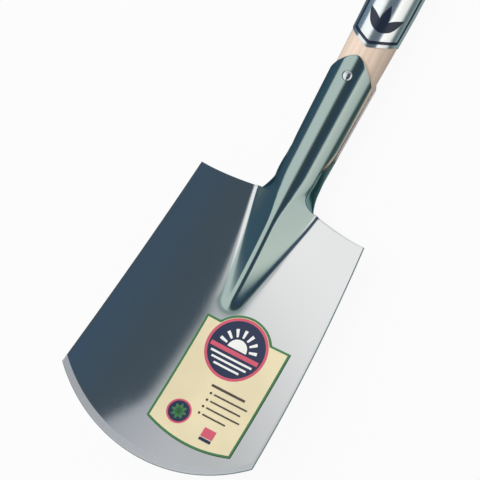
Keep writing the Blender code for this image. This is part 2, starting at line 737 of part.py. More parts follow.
def make_rivet(finish):
    """A domed head in front, a shank through the shaft and a flatter peened tail behind."""
    seat = strap_radius(RIVET_AT) + PART_GAP
    turns = [pi / 2 * i / RIVET_ARC_STEPS for i in range(1, RIVET_ARC_STEPS + 1)]
    profile = [(0, seat + RIVET_HEAD_HEIGHT)]
    profile += [(RIVET_HEAD_RADIUS * sin(turn), seat + RIVET_HEAD_HEIGHT * cos(turn)) for turn in turns]
    profile += [(RIVET_RADIUS, seat), (RIVET_RADIUS, -seat)]
    profile += [(RIVET_TAIL_RADIUS * sin(turn), -seat - RIVET_TAIL_HEIGHT * cos(turn))
                for turn in reversed(turns)]
    profile += [(0, -seat - RIVET_TAIL_HEIGHT)]
    made = turned("strap_rivet", profile, finish, RIVET_SIDES)
    through_front(made, RIVET_AT)
    smooth_shading(made.data)
    return made


def make_grip_pin(finish):
    half = GRIP_RADIUS - PIN_RECESS
    profile = [(0, half), (PIN_RADIUS - PIN_CHAMFER, half), (PIN_RADIUS, half - PIN_CHAMFER),
               (PIN_RADIUS, PIN_CHAMFER - half), (PIN_RADIUS - PIN_CHAMFER, -half), (0, -half)]
    made = turned("grip_pin", profile, finish, PIN_SIDES)
    through_front(made, GRIP_AT)
    smooth_shading(made.data)
    return made


def wedge_form(fit, above):
    """A tapered slip driven into the tenon from its top, z = 0, with room all round and above."""
    taper = (WEDGE_THICKNESS - WEDGE_TIP_THICKNESS) / WEDGE_LENGTH
    bm = bmesh.new()
    bmesh.ops.create_cube(bm, size=1)
    for vertex in bm.verts:
        vertex.co.z = above if vertex.co.z > 0 else -WEDGE_LENGTH - fit
        vertex.co.x *= WEDGE_THICKNESS + taper * vertex.co.z + 2 * fit
        vertex.co.y *= 2 * (TENON_RADIUS - WEDGE_MARGIN + fit)
    return bm


def make_wedge(finish):
    bm = wedge_form(0, 0)
    mesh = bpy.data.meshes.new("tenon_wedge")
    bm.to_mesh(mesh)
    bm.free()
    made = add_part("tenon_wedge", mesh, finish)
    along_shaft(made, SHAFT_TOP + TENON_PROUD)
    return made


def label_point(across, up, lift):
    """A point of the label, given in the label's own width and height, lifted off the blade."""
    x = LABEL_LEFT + across * cos(LABEL_TILT) - up * sin(LABEL_TILT)
    z = LABEL_BOTTOM + across * sin(LABEL_TILT) + up * cos(LABEL_TILT)
    point = blade_front(x, z)
    step = 0.0005
    slope_x = (blade_front(x + step, z).y - blade_front(x - step, z).y) / (2 * step)
    slope_z = (blade_front(x, z + step).y - blade_front(x, z - step).y) / (2 * step)
    return point + Vector((slope_x, -1, slope_z)).normalized() * lift


def label_top(across):
    centre = LABEL_HEIGHT - LABEL_DISC_DROP
    under = LABEL_DISC_RADIUS ** 2 - (across - LABEL_DISC_X) ** 2
    return max(LABEL_HEIGHT, centre + sqrt(max(under, 0)))


def label_bottom(across):
    return -LABEL_BOTTOM_BOW * (1 - (2 * across / LABEL_WIDTH - 1) ** 2)


def make_label(finish):
    """A thin sheet on the blade's front that follows its dish."""
    rows = []
    for row in range(LABEL_ROWS + 1):
        points = []
        for column in range(LABEL_COLUMNS + 1):
            across = LABEL_WIDTH * column / LABEL_COLUMNS
            up = mix(label_bottom(across), label_top(across), row / LABEL_ROWS)
            points.append(label_point(across, up, PART_GAP + LABEL_THICKNESS))
        rows.append(points)
    made = add_part("blade_label", half_sheet("blade_label", [rows], False), finish)
    shell = made.modifiers.new("thickness", 'SOLIDIFY')
    shell.thickness = LABEL_THICKNESS
    shell.offset = -1
    smooth_shading(made.data)
    return made


def band_bottom(along):
    reach = min(abs(along), BAND_SLOPE_REACH)
    rise = sqrt((BAND_SLOPE * reach) ** 2 + (BAND_SLOPE * BAND_SLOPE_ROUNDING) ** 2)
    return BAND_START + rise - BAND_SLOPE * BAND_SLOPE_ROUNDING


def make_band(finish):
    """A foil sleeve round the shaft above the straps, open at both ends."""
    bm = bmesh.new()
    grid = []
    for row in range(BAND_ROWS + 1):
        ring = []
        for i in range(ROUND_SIDES):
            angle = -pi + 2 * pi * i / ROUND_SIDES
            s = mix(band_bottom(angle * SHAFT_RADIUS), BAND_START + BAND_HEIGHT, row / BAND_ROWS)
            radius = shaft_radius(s) + SHAFT_FIT + BAND_THICKNESS
            ring.append(bm.verts.new(by_shaft(radius * sin(angle), s, radius * cos(angle))))
        grid.append(ring)
    for low, high in zip(grid, grid[1:]):
        for i in range(ROUND_SIDES):
            after = (i + 1) % ROUND_SIDES
            bm.faces.new((low[i], low[after], high[after], high[i]))
    mesh = bpy.data.meshes.new("shaft_band")
    bm.to_mesh(mesh)
    bm.free()
    made = add_part("shaft_band", mesh, finish)
    shell = made.modifiers.new("thickness", 'SOLIDIFY')
    shell.thickness = BAND_THICKNESS
    shell.offset = -1
    smooth_shading(made.data)
    return made


def bore_for_rivet(pieces):
    hole = cylinder_cutter("rivet_hole", RIVET_RADIUS + RIVET_FIT, 4 * SHAFT_RADIUS)
    through_front(hole, RIVET_AT)
    for made in pieces:
        cut(made, hole)


def joint_grip(shaft, grip):
    """The crossbar's mortise, the saddle on the shaft's shoulder, the pin's hole and the wedge's slot."""
    mortise = cylinder_cutter("mortise", TENON_RADIUS + TENON_FIT, 4 * GRIP_RADIUS)
    along_shaft(mortise, GRIP_AT)
    cut(grip, mortise)
    tenon = cylinder_cutter("tenon_core", TENON_RADIUS + TENON_FIT / 2, 6 * GRIP_RADIUS)
    along_shaft(tenon, GRIP_AT)
    saddle = cylinder_cutter("saddle", GRIP_RADIUS + PART_GAP, 4 * SHAFT_RADIUS)
    turn = Matrix.Rotation(SHAFT_LEAN, 4, 'X') @ Matrix.Rotation(pi / 2, 4, 'Y')
    saddle.matrix_local = Matrix.Translation(by_shaft(0, GRIP_AT, 0)) @ turn
    cut(saddle, tenon)
    cut(shaft, saddle)
    pin_hole = cylinder_cutter("pin_hole", PIN_RADIUS + PIN_FIT, 4 * GRIP_RADIUS)
    through_front(pin_hole, GRIP_AT)
    cut(grip, pin_hole)
    cut(shaft, pin_hole)
    slot = add_cutter("wedge_slot", wedge_form(WOOD_FIT, WEDGE_SLOT_ABOVE))
    along_shaft(slot, SHAFT_TOP + TENON_PROUD)
    cut(shaft, slot)


def set_at_rest():
    """Lays the spade on its rivet's tail and on its crossbar, or on the shaft where that reaches lower."""
    behind_rivet = strap_radius(RIVET_AT) + PART_GAP + RIVET_TAIL_HEIGHT
    low_points = [(NECK_FROM, SHAFT_RADIUS), (GRIP_AT, GRIP_RADIUS)]
    tip_up = min(atan2(behind_rivet - radius, s - RIVET_AT) for s, radius in low_points)
    rest.matrix_world = Matrix.Rotation(-pi / 2 - SHAFT_LEAN - tip_up, 4, 'X')
    bpy.context.view_layer.update()
    graph = bpy.context.evaluated_depsgraph_get()
    corners = []
    for made in parts.objects:
        if made.type != 'MESH':
            continue
        evaluated = made.evaluated_get(graph)
        mesh = evaluated.to_mesh()
        corners += [evaluated.matrix_world @ vertex.co for vertex in mesh.vertices]
        evaluated.to_mesh_clear()
    low = [min(point[axis] for point in corners) for axis in range(3)]
    high = [max(point[axis] for point in corners) for axis in range(3)]
    shift = Vector((-(low[0] + high[0]) / 2, -(low[1] + high[1]) / 2, -low[2]))
    rest.matrix_world = Matrix.Translation(shift) @ rest.matrix_world
    bpy.context.view_layer.update()


def clear_scene():
    for old in list(bpy.data.objects):
        bpy.data.objects.remove(old, do_unlink=True)


def main():
    global parts, cutters, rest
    clear_scene()
    parts = bpy.data.collections.new("garden_spade")
    cutters = bpy.data.collections.new("cutters")
    for collection in (parts, cutters):
        bpy.context.scene.collection.children.link(collection)
    rest = bpy.data.objects.new("spade_at_rest", None)
    parts.objects.link(rest)
    steel = material("polished_steel", (0.62, 0.65, 0.65), 0.12, 1.0)
    back_steel = material("back_strap_steel", (0.60, 0.63, 0.64), 0.14, 1.0)
    rivet_steel = material("rivet_steel", (0.66, 0.67, 0.67), 0.2, 1.0)
    pin_steel = material("pin_steel", (0.52, 0.52, 0.51), 0.3, 1.0)
    ash = material("ash_shaft", (0.78, 0.60, 0.42), 0.42)
    grip_ash = material("ash_grip", (0.76, 0.58, 0.40), 0.4)
    beech = material("wedge_wood", (0.62, 0.44, 0.29), 0.6)
    paper = material("label_paper", (0.90, 0.85, 0.62), 0.45)
    foil = material("band_foil", (0.80, 0.82, 0.83), 0.2, 0.9)
    blade = make_blade(steel)
    back_strap = make_back_strap(back_steel)
    make_rivet(rivet_steel)
    shaft = make_shaft(ash)
    grip = make_grip(grip_ash)
    make_grip_pin(pin_steel)
    make_wedge(beech)
    make_label(paper)
    make_band(foil)
    bore_for_rivet((blade, back_strap, shaft))
    joint_grip(shaft, grip)
    set_at_rest()


main()
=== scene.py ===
"""Looks of the garden spade: fine sheet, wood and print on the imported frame, a studio and the camera.

Units are metres. Sheet pieces are worked out in the blade's own frame: x across, y towards the blade's
back, z up the blade from its tip. Distances s run along the shaft from the blade's top edge. The rest
matrix turns that frame into the world, where the spade lies on its back with its shaft along +Y.
Sizes of the solids have the same names as in part.py, where each is explained.
"""
from math import acos, atan2, cos, hypot, pi, radians, sin, sqrt, tan

import bmesh
import bpy
from mathutils import Matrix, Vector


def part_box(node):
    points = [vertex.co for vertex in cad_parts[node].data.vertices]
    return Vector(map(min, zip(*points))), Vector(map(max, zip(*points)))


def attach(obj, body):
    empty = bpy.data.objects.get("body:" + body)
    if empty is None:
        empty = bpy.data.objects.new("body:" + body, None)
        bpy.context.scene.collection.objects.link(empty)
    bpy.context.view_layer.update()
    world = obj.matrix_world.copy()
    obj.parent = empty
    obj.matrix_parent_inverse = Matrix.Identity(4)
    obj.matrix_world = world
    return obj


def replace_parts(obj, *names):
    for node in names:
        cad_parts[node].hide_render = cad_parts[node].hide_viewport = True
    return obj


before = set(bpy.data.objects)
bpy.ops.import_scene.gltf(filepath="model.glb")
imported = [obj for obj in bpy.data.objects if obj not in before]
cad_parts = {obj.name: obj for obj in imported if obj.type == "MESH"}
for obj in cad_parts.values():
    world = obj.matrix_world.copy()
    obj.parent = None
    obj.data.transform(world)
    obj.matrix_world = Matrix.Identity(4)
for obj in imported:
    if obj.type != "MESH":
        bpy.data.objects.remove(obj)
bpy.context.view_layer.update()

# Blade
SHEET = 0.0020
SHEET_SLANT = 1.03
BLADE_LENGTH = 0.2418
SHOULDER_HEIGHT = 0.2350
SHOULDER_HALF_WIDTH = 0.0772
CORNER_HALF_WIDTH = 0.0904
CORNER_HEIGHT = 0.0359
FLARE_FULLNESS = 0.5
DISH_BOTTOM = 0.0154
DISH_TOP = 0.0137
BOW = 0.0110
TOP_EDGE_POWER = 1.5

# Frog
FROG_LENGTH = 0.1000
FROG_HALF_WIDTH = 0.0288
FROG_NOSE_RADIUS = 0.0080
FROG_NOSE_WALL = radians(26.5)
FROG_RIDGE_RADIUS = 0.0065
RIDGE_WIDENS_FROM = -0.025
RIDGE_WIDENS_TO = 0.025
CREST_BEND = radians(7.5)
CREST_BEND_REACH = 0.015
FROG_FILLET = 0.0010

# Shaft
SHAFT_LEAN = radians(11.5)
SHAFT_SET_FORWARD = 0.0022
SHAFT_LENGTH = 0.900
SOCKET_DEPTH = 0.045
SHAFT_RADIUS = 0.02075
SHAFT_RADIUS_AT_BLADE = 0.0160
SHAFT_FULL_FROM = 0.180
SHAFT_NECK_LENGTH = 0.455
SHAFT_FIT = 0.0004
PART_GAP = 0.0003

# Straps
STRAP_TIP = 0.1307
STRAP_ROOT_HALF_ARC = 0.0180
STRAP_HALF_ARC = 0.0245
STRAP_WIDENS_FROM = 0.026
STRAP_WIDENS_TO = 0.058
STRAP_WALL_ANGLE = radians(75)
ROOT_FILLET = 0.0100
TONGUE_SLOPE = 0.85
TONGUE_TIP_RADIUS = 0.0040
TONGUE_STARTS = 0.100
SEAM_GAP = 0.0005
SOCKET_WALL_ANGLE = radians(48)
SEAM_TOP = 0.044
SEAM_OPENS_FROM = 0.028
ROUND_SOONER = 4
WALL_END_AT_BLADE = 0.0030
WALL_END_AT_TOP = 0.0060
WRAP_FULLNESS = 2.0
BULGE_LENGTH = 0.105
BULGE_TIP_RADIUS = 0.0030
BULGE_FILLET = 0.0026
FLANGE_TOP_HALF_WIDTH = 0.0330
FLANGE_TIP_RADIUS = 0.0140
FLANGE_TIP_BELOW = 0.1180
FLANGE_SETBACK = 0.0020

# Rivet and grip
RIVET_AT = 0.1122
RIVET_HEAD_RADIUS = 0.0045
RIVET_HEAD_HEIGHT = 0.0022
RIVET_TAIL_RADIUS = 0.0045
RIVET_TAIL_HEIGHT = 0.0018
RIVET_SHANK = 0.7               # the shank's radius as a share of the head's and the tail's
GRIP_RADIUS = 0.0180
TENON_PROUD = 0.0006

# Printed label and foil band
LABEL_THICKNESS = 0.0003
LABEL_WIDTH = 0.0800
LABEL_HEIGHT = 0.0973
LABEL_LEFT = -0.0104
LABEL_BOTTOM = 0.0334
LABEL_TILT = radians(1.0)
LABEL_BOTTOM_BOW = 0.0070
LABEL_DISC_X = 0.0370
LABEL_DISC_DROP = 0.0160
LABEL_DISC_RADIUS = 0.0292
LABEL_BORDER = 0.0019
DISC_MARGIN = 0.0004            # cream left between the border and the disc's ring
DISC_RING = 0.0024
SEAL_AT = (0.27 * LABEL_WIDTH, 0.0150)
SEAL_RADIUS = 0.0105
SEAL_RING = 0.0015
SUN_RADIUS = 0.0088
SUN_RAYS = 7
SUN_RAY_ENDS = (0.0108, 0.0178)
SUN_RAY_GAP = 0.32              # share of each ray's sector left free on either side
SUN_GROUND = (0.0225, 0.0052, 0.0015)   # half width, lower and upper edge under the sun's centre
SUN_LINES = ((0.0195, 0.0095), (0.0165, 0.0138), (0.0120, 0.0181))  # half widths and drops
SUN_LINE_HEIGHT = 0.0018
PETALS = 8
PETAL_SIZE = (0.0072, 0.0034)
HEADING = (0.0340, 0.0660, 0.0455, 0.0476)  # left, right, lower and upper edge, as for the stamp
RULES = ((0.0400, 0.0720), (0.0400, 0.0690), (0.0400, 0.0720), (0.0400, 0.0620))    # left and right ends
RULE_TOP = 0.0395
RULE_STEP = 0.0062
RULE_HEIGHT = 0.0014
DOT_RADIUS = 0.0011
DOT_SPACE = 0.0030
STAMP = (0.0480, 0.0590, 0.0055, 0.0135)
STAMP_FOOT = (0.0480, 0.0590, 0.0022, 0.0048)
BAND_START = 0.1400             # measured again, 2.5 mm lower than in part.py
BAND_HEIGHT = 0.0645
BAND_THICKNESS = 0.0003
BAND_SLOPE = 0.44
BAND_SLOPE_ROUNDING = 0.0012
BAND_SLOPE_REACH = 0.0300
BAND_TURN = 0.0020              # arc by which the band sits off the straps' middle
BAND_FIELD = (-0.0182, 0.0284)  # both sides of the outline, as arcs round the shaft
BAND_MARGIN = 0.0030
BAND_LINE = 0.0028
BAND_LEAF = (0.0240, 0.0080)
BAND_LEAF_TURN = radians(42)
BAND_LEAF_FOOT = 0.0150
PRINT_LIFT = 0.00004            # height of each printed layer over the one below it

# Facets of the visible sheets
FROG_COLUMNS = 40
PLATE_COLUMNS = 30
BLADE_ROWS = 120
FILLET_ROWS = 16
STRAP_ROWS = 36
TONGUE_ROWS = 16
SOCKET_COLUMNS = 24
WRAP_COLUMNS = 12
FLANGE_COLUMNS = 8
BULGE_ROWS = 44
NARROWEST_FROG_COLUMNS = 0.34
NARROWEST_BULGE_COLUMNS = 0.35
WIDEST_BULGE_COLUMNS = 0.72
NARROWEST_BULGE = 0.004
SOCKET_ROWS = 8
OPENING_ROWS = 16
BACK_STRAP_ROWS = 12
FIT_STEPS = 9                   # repeats that settle a height which depends on itself
LABEL_COLUMNS = 80
LABEL_ROWS = 60
BAND_COLUMNS = 48
BAND_ROWS = 40
RIVET_SIDES = 48
RIVET_ARC_STEPS = 14
SAME_POINT = 0.000001
MERGE_WITHIN = 0.00001
RIM_BEVEL = 0.0004
RIM_FROM = radians(60)
SHARP_FROM = radians(35)

# Camera, solved from the blade and the shaft in the photograph
CAMERA_YAW = radians(16.0617)
CAMERA_PITCH = radians(10.3832)
CAMERA_ROLL = radians(31.3711)
CAMERA_DISTANCE = 1.8033
CAMERA_SENSOR = 36.0
PHOTO_SIDE = 480
PIXELS_PER_METRE = 1231.2
AIM_HEIGHT = 0.14               # height over the blade's tip that the camera aims at
AIM_PIXEL = (224.33, 306.99)    # where that point shows in the photograph

# Studio: light that metal mirrors, by the angle from straight up towards +X, in degrees
STUDIO_BANDS = (
    (-180, (0.25, 0.31, 0.32)),
    (-140, (0.10, 0.16, 0.20)),
    (-127, (0.05, 0.09, 0.13)),
    (-105, (0.075, 0.14, 0.21)),
    (-71, (0.08, 0.155, 0.24)),
    (-63, (0.62, 0.645, 0.65)),
    (-20, (0.57, 0.59, 0.60)),
    (-10.5, (0.52, 0.56, 0.57)),
    (-6.5, (0.068, 0.096, 0.122)),
    (6, (0.066, 0.096, 0.124)),
    (13, (0.063, 0.099, 0.136)),
    (19, (0.060, 0.101, 0.146)),
    (24, (0.056, 0.106, 0.175)),
    (29, (0.056, 0.106, 0.185)),
    (35, (0.07, 0.13, 0.20)),
    (42, (1.26, 1.21, 1.14)),
    (46, (1.22, 1.17, 1.12)),
    (53, (1.09, 1.05, 1.03)),
    (64, (1.02, 0.99, 0.97)),
    (84, (0.88, 0.87, 0.86)),
    (93, (0.20, 0.25, 0.26)),
    (102, (0.05, 0.075, 0.085)),
    (112, (0.13, 0.20, 0.21)),
    (126, (0.21, 0.30, 0.31)),
    (150, (0.27, 0.36, 0.37)),
    (180, (0.25, 0.31, 0.32)),
)
STUDIO_CARD = (1.05, 1.055, 1.055)
STUDIO_END_NEAR = (0.60, 0.62, 0.645)
STUDIO_END_FAR = (0.43, 0.46, 0.52)
STUDIO_PEAK = 1.3               # the colours above are stored as shares of this
STUDIO_MIRRORED_TWICE = 0.35    # share of the studio's light that steel mirrors in steel

# Its ranges: two angles, then the values at them. Across is the bands' angle, along the one from
# their plane towards +Y.
STUDIO_DRIFT = (8, 18, 0, 2)    # how far the bands shift across, by the angle along
CARD_FADES_ALONG = (4, 32, 1, 0)
CARD_LEFT_EDGE = (-69, -64, 0, 1)
CARD_RIGHT_EDGE = (4, 8, -14, -21)  # where across the card ends, by the angle along
CARD_RIGHT_BLUR = (-2.5, 2.5, 1, 0)
END_STARTS = (35.1, 38.1, 0, 1)     # by the angle along, less the slant
END_NEAR_TO_FAR = (-30, 0, 0, 1)
END_SLANT = 0.6                 # degrees along for each degree across, within the reach
END_SLANT_REACH = 10

# Light on the rest, and the floor
WORLD_LIGHT = 0.56
LAMP_AT = (-1.05, -0.1, 2.5)
LAMP_AIM = (0, -0.2, 0)
LAMP_SIDE = 1.6
LAMP_ENERGY = 43
FLOOR_REACH = 4.0
FLOOR_TONE = (0.62, 0.62, 0.62)
FLOOR_WHITE = 0.93              # share of plain white in what the camera sees of the floor

# Steel, by what it mirrors of each colour
PLATE_STEEL = (0.75, 0.75, 0.75)
# painted reflection: a darker, teal-tinted steel colour on the frog and both straps stands in for the
# reflections there
SOCKET_PAINTED_REFLECTION = (0.37, 0.465, 0.44)
FOLD_PAINTED_SHADE = (0.13, 0.24, 0.24)     # painted shade on the back strap where it folds forward to the seam
GROUND_STEEL = (0.56, 0.58, 0.60)
GROUND_WIDTH = 6.5              # width of the ground strip along the cutting edge, in mm
GROUND_BLUR = 0.4
GROUND_ROUGHER = 0.36
GROUND_METALLIC = 0.55
SATIN_ROUGHER = 0.05
SATIN_AND_PAINTED_REFLECTION_RISE = 0.0003             # the satin and the painted reflection colour begin where the frog stands out by about this
SATIN_AND_PAINTED_REFLECTION_RISE_GROWTH = 14          # and further up its sides where it is high
FOLD_FROM = -9.0                # where the painted shade starts to darken it, in front of the shaft's axis, in mm
FOLD_RIM_FROM = -5.0
FOLD_TO = -1.0
RIM_METALLIC = 0.5
EVEN_GRAIN = (700, 700, 700)

# The part of a noise texture's range that a map takes in
WIDE = (0.3, 0.7)
STEEP = (0.35, 0.65)


def clamp(value, low=0.0, high=1.0):
    return max(low, min(high, value))


def smooth(value):
    """Eases from 0 to 1 with level ends."""
    value = clamp(value)
    return value * value * (3 - 2 * value)


def mix(start, end, share):
    return start + (end - start) * share


def even_shares(count):
    """From 0 to 1 in equal steps."""
    return [i / count for i in range(count + 1)]


def soft_positive(value, blend):
    return 0.5 * (value + sqrt(value * value + blend * blend))


# The blade's surface, as its distance y behind the chord

def blade_half_width(z):
    share = clamp((SHOULDER_HEIGHT - z) / (SHOULDER_HEIGHT - CORNER_HEIGHT))
    return mix(SHOULDER_HALF_WIDTH, CORNER_HALF_WIDTH, share * (1 + FLARE_FULLNESS * (1 - share)))


def dished_plate(x, z):
    middle = SHOULDER_HEIGHT / 2
    dish = mix(DISH_BOTTOM, DISH_TOP, (z - CORNER_HEIGHT) / (SHOULDER_HEIGHT - CORNER_HEIGHT))
    bow = BOW * (1 - ((z - middle) / middle) ** 2)
    return bow - dish * (x / blade_half_width(z)) ** 2


def cutting_edge(x):
    radius = (CORNER_HALF_WIDTH ** 2 + CORNER_HEIGHT ** 2) / (2 * CORNER_HEIGHT)
    return radius - sqrt(radius ** 2 - min(abs(x), CORNER_HALF_WIDTH) ** 2)


# The shaft's frame: s along it from the blade's top edge, f in front of its axis

SHAFT_DIRECTION = Vector((0, -sin(SHAFT_LEAN), cos(SHAFT_LEAN)))
SHAFT_FRONT = Vector((0, -cos(SHAFT_LEAN), -sin(SHAFT_LEAN)))
SHAFT_FOOT = Vector((0, -SHAFT_SET_FORWARD, BLADE_LENGTH))
SHAFT_TOP = SHAFT_LENGTH - SOCKET_DEPTH - TENON_PROUD
GRIP_AT = SHAFT_TOP - GRIP_RADIUS
NECK_FROM = GRIP_AT - SHAFT_NECK_LENGTH


def by_shaft(x, s, f):
    return SHAFT_FOOT + SHAFT_DIRECTION * s + SHAFT_FRONT * f + Vector((x, 0, 0))


def shaft_radius(s):
    return mix(SHAFT_RADIUS_AT_BLADE, SHAFT_RADIUS, clamp(s / SHAFT_FULL_FROM))


def strap_radius(s):
    return shaft_radius(s) + SHAFT_FIT + SHEET


def arc_and_tangent(along, radius, angle):
    """A round crest that leaves into straight walls at an angle; x across and height over its centre."""
    if along <= radius * angle:
        return radius * sin(along / radius), radius * cos(along / radius)
    straight = along - radius * angle
    return (radius * sin(angle) + straight * cos(angle),
            radius * cos(angle) - straight * sin(angle))


def crest_drop(x, radius, angle):
    """How far the same section lies under its crest at x."""
    if abs(x) <= radius * sin(angle):
        return radius - sqrt(radius ** 2 - x ** 2)
    return radius * (1 - cos(angle)) + (abs(x) - radius * sin(angle)) * tan(angle)


def wall_angle(radius, height, half_width):
    centre = height - radius
    return atan2(half_width, -centre) - acos(radius / hypot(half_width, centre))


def ridge_radius(s):
    """The front sheet's crest, a ridge on the frog, grows round where the strap takes the shaft."""
    growth = smooth((s - RIDGE_WIDENS_FROM) / (RIDGE_WIDENS_TO - RIDGE_WIDENS_FROM))
    return mix(FROG_RIDGE_RADIUS, strap_radius(s), growth)


def crest_sag(s):
    """Rounds the bend between the frog's crest and the strap's."""
    return max(CREST_BEND_REACH - abs(s), 0) ** 2 / (4 * CREST_BEND_REACH) * tan(CREST_BEND)


FROG_TIP = BLADE_LENGTH - FROG_LENGTH
FROG_NOSE = FROG_TIP + FROG_NOSE_RADIUS
FROG_CREST = by_shaft(0, 0, strap_radius(0))
FROG_HEIGHT = dished_plate(0, FROG_CREST.z) - FROG_CREST.y
FROG_WALL = wall_angle(ridge_radius(0), FROG_HEIGHT, FROG_HALF_WIDTH)
FROG_TAPER = (FROG_HALF_WIDTH - FROG_NOSE_RADIUS) / (FROG_CREST.z - FROG_NOSE)


def frog_half_width(z):
    return FROG_NOSE_RADIUS + FROG_TAPER * soft_positive(z - FROG_NOSE, FROG_NOSE_RADIUS / 2)


def frog_rise(x, z):
    """How far the frog stands in front of the plate."""
    behind = min(crest_drop(x, ridge_radius(0), FROG_WALL), FROG_HEIGHT)
    s = (z - FROG_CREST.z - behind * tan(SHAFT_LEAN)) * cos(SHAFT_LEAN)
    radius = ridge_radius(s)
    wall = mix(FROG_NOSE_WALL, FROG_WALL, clamp((z - FROG_NOSE) / (FROG_CREST.z - FROG_NOSE)))
    top = radius * (1 - cos(wall)) + (frog_half_width(z) - radius * sin(wall)) * tan(wall)
    reach = hypot(x, soft_positive(FROG_NOSE - z, FROG_NOSE_RADIUS / 2))
    return soft_positive(top - crest_sag(s) - crest_drop(reach, radius, wall), FROG_FILLET)


def blade_front(x, z):
    return Vector((x, dished_plate(x, z) - frog_rise(x, z), z))


def top_edge(x):
    z = BLADE_LENGTH
    if abs(x) <= FROG_HALF_WIDTH:
        for _ in range(FIT_STEPS):
            y = blade_front(x, z).y
            z = SHAFT_FOOT.z + (y - SHAFT_FOOT.y) * tan(SHAFT_LEAN)
        return z
    inner = top_edge(FROG_HALF_WIDTH)
    share = clamp((SHOULDER_HALF_WIDTH - abs(x)) / (SHOULDER_HALF_WIDTH - FROG_HALF_WIDTH))
    return mix(SHOULDER_HEIGHT, inner, share ** TOP_EDGE_POWER)


# Both straps, on the shaft's front, side 1, or its back, side -1

def round_strap(s, along, side):
    angle = along / strap_radius(s)
    return by_shaft(strap_radius(s) * sin(angle), s, side * strap_radius(s) * cos(angle))


def tongue_end(along):
    fall = sqrt((TONGUE_SLOPE * along) ** 2 + TONGUE_TIP_RADIUS ** 2) - TONGUE_TIP_RADIUS
    return STRAP_TIP - fall


def tongue_rows(shares, side):
    """Rows from where a strap's tongue starts up to its outline."""
    arcs = [STRAP_HALF_ARC * u for u in shares]
    return [[round_strap(mix(TONGUE_STARTS, tongue_end(arc), share), arc, side) for arc in arcs]
            for share in even_shares(TONGUE_ROWS)[1:]]


# The front strap

def front_wall_angle(s):
    return mix(FROG_WALL, STRAP_WALL_ANGLE, smooth(s / STRAP_WIDENS_FROM))


def front_half_arc(s):
    widening = smooth((s - STRAP_WIDENS_FROM) / (STRAP_WIDENS_TO - STRAP_WIDENS_FROM))
    plain = mix(STRAP_ROOT_HALF_ARC, STRAP_HALF_ARC, widening)
    if s >= ROOT_FILLET:
        return plain
    round_part = ridge_radius(0) * FROG_WALL
    foot = round_part + (FROG_HALF_WIDTH - ridge_radius(0) * sin(FROG_WALL)) / cos(FROG_WALL)
    fillet = 1 - sqrt(1 - (1 - s / ROOT_FILLET) ** 2)
    return mix(plain, foot, fillet)


def front_section(s, share):
    x, f = arc_and_tangent(front_half_arc(s) * share, ridge_radius(s), front_wall_angle(s))
    return x, s, f + strap_radius(s) - ridge_radius(s) - crest_sag(s)


def root_offset(s, along):
    """What the strap's section moves by near its root, so that it starts on the frog's own surface."""
    if s >= ROOT_FILLET:
        return Vector()
    share = along / front_half_arc(0)
    x, foot, front = front_section(0, share)
    offset = blade_front(x, top_edge(x)) - by_shaft(x, foot, front)
    return offset * (1 - smooth(s / ROOT_FILLET))


def fillet_levels():
    return [ROOT_FILLET * (1 - cos(pi / 2 * i / FILLET_ROWS)) for i in range(1, FILLET_ROWS + 1)]


def strap_levels():
    return fillet_levels() + [mix(ROOT_FILLET, TONGUE_STARTS, u) for u in even_shares(STRAP_ROWS)[1:]]


def blade_rows():
    """Half of the front sheet, from the crest outwards; rows run from the cutting edge to the tongue."""
    rows = []
    shares = even_shares(FROG_COLUMNS)
    narrowest = FROG_HALF_WIDTH * NARROWEST_FROG_COLUMNS
    for share in even_shares(BLADE_ROWS):
        level = mix(0.0, BLADE_LENGTH, share)
        inner = max(narrowest, frog_half_width(level) + FROG_FILLET * (1 - share))
        inner = min(inner, FROG_HALF_WIDTH)
        outer = blade_half_width(mix(CORNER_HEIGHT, SHOULDER_HEIGHT, share))
        across = [inner * u for u in shares]
        across += [mix(inner, outer, u) for u in even_shares(PLATE_COLUMNS)[1:]]
        if share == 1:
            across[:FROG_COLUMNS + 1] = [front_section(0, u)[0] for u in shares]
        rows.append([blade_front(x, mix(cutting_edge(x), top_edge(x), share)) for x in across])
    for s in strap_levels():
        arc = front_half_arc(s)
        rows.append([by_shaft(*front_section(s, u)) + root_offset(s, arc * u) for u in shares])
    return rows + tongue_rows(shares, 1)


# The back strap

BULGE_CREST = by_shaft(0, 0, -strap_radius(0))


def socket_wall_angle(s):
    return mix(SOCKET_WALL_ANGLE, pi / 2, clamp(s / SEAM_TOP))


def flange_face(x, z):
    return dished_plate(x, z) + SHEET * SHEET_SLANT + PART_GAP + SHEET


BULGE_HEIGHT = BULGE_CREST.y - flange_face(0, BULGE_CREST.z)


def bulge_height(z):
    return BULGE_HEIGHT * (1 - ((BULGE_CREST.z - z) / BULGE_LENGTH) ** 2)


def bulge_rise(x, z):
    height = bulge_height(z)
    radius = max(strap_radius(0) * height / BULGE_HEIGHT, BULGE_TIP_RADIUS)
    return soft_positive(height - crest_drop(x, radius, SOCKET_WALL_ANGLE), BULGE_FILLET)


def bulge_half_width(z):
    height = max(bulge_height(z), 0)
    radius = max(strap_radius(0) * height / BULGE_HEIGHT, BULGE_TIP_RADIUS)
    wall = (height - radius * (1 - cos(SOCKET_WALL_ANGLE))) / tan(SOCKET_WALL_ANGLE)
    return max(radius * sin(SOCKET_WALL_ANGLE) + wall, NARROWEST_BULGE)


def back_face(x, z):
    return Vector((x, flange_face(x, z) + bulge_rise(x, z), z))


def wall_point(s):
    """The end of the socket's straight wall, a little behind the shaft's axis."""
    radius = strap_radius(s)
    angle = socket_wall_angle(s)
    behind = mix(WALL_END_AT_BLADE, WALL_END_AT_TOP, clamp(s / SEAM_TOP))
    reach = max((radius * cos(angle) - behind) / sin(angle), 0)
    if reach == 0:
        turn = acos(behind / radius)
        return Vector((radius * sin(turn), -behind))
    return Vector((radius * sin(angle) + reach * cos(angle), -behind))


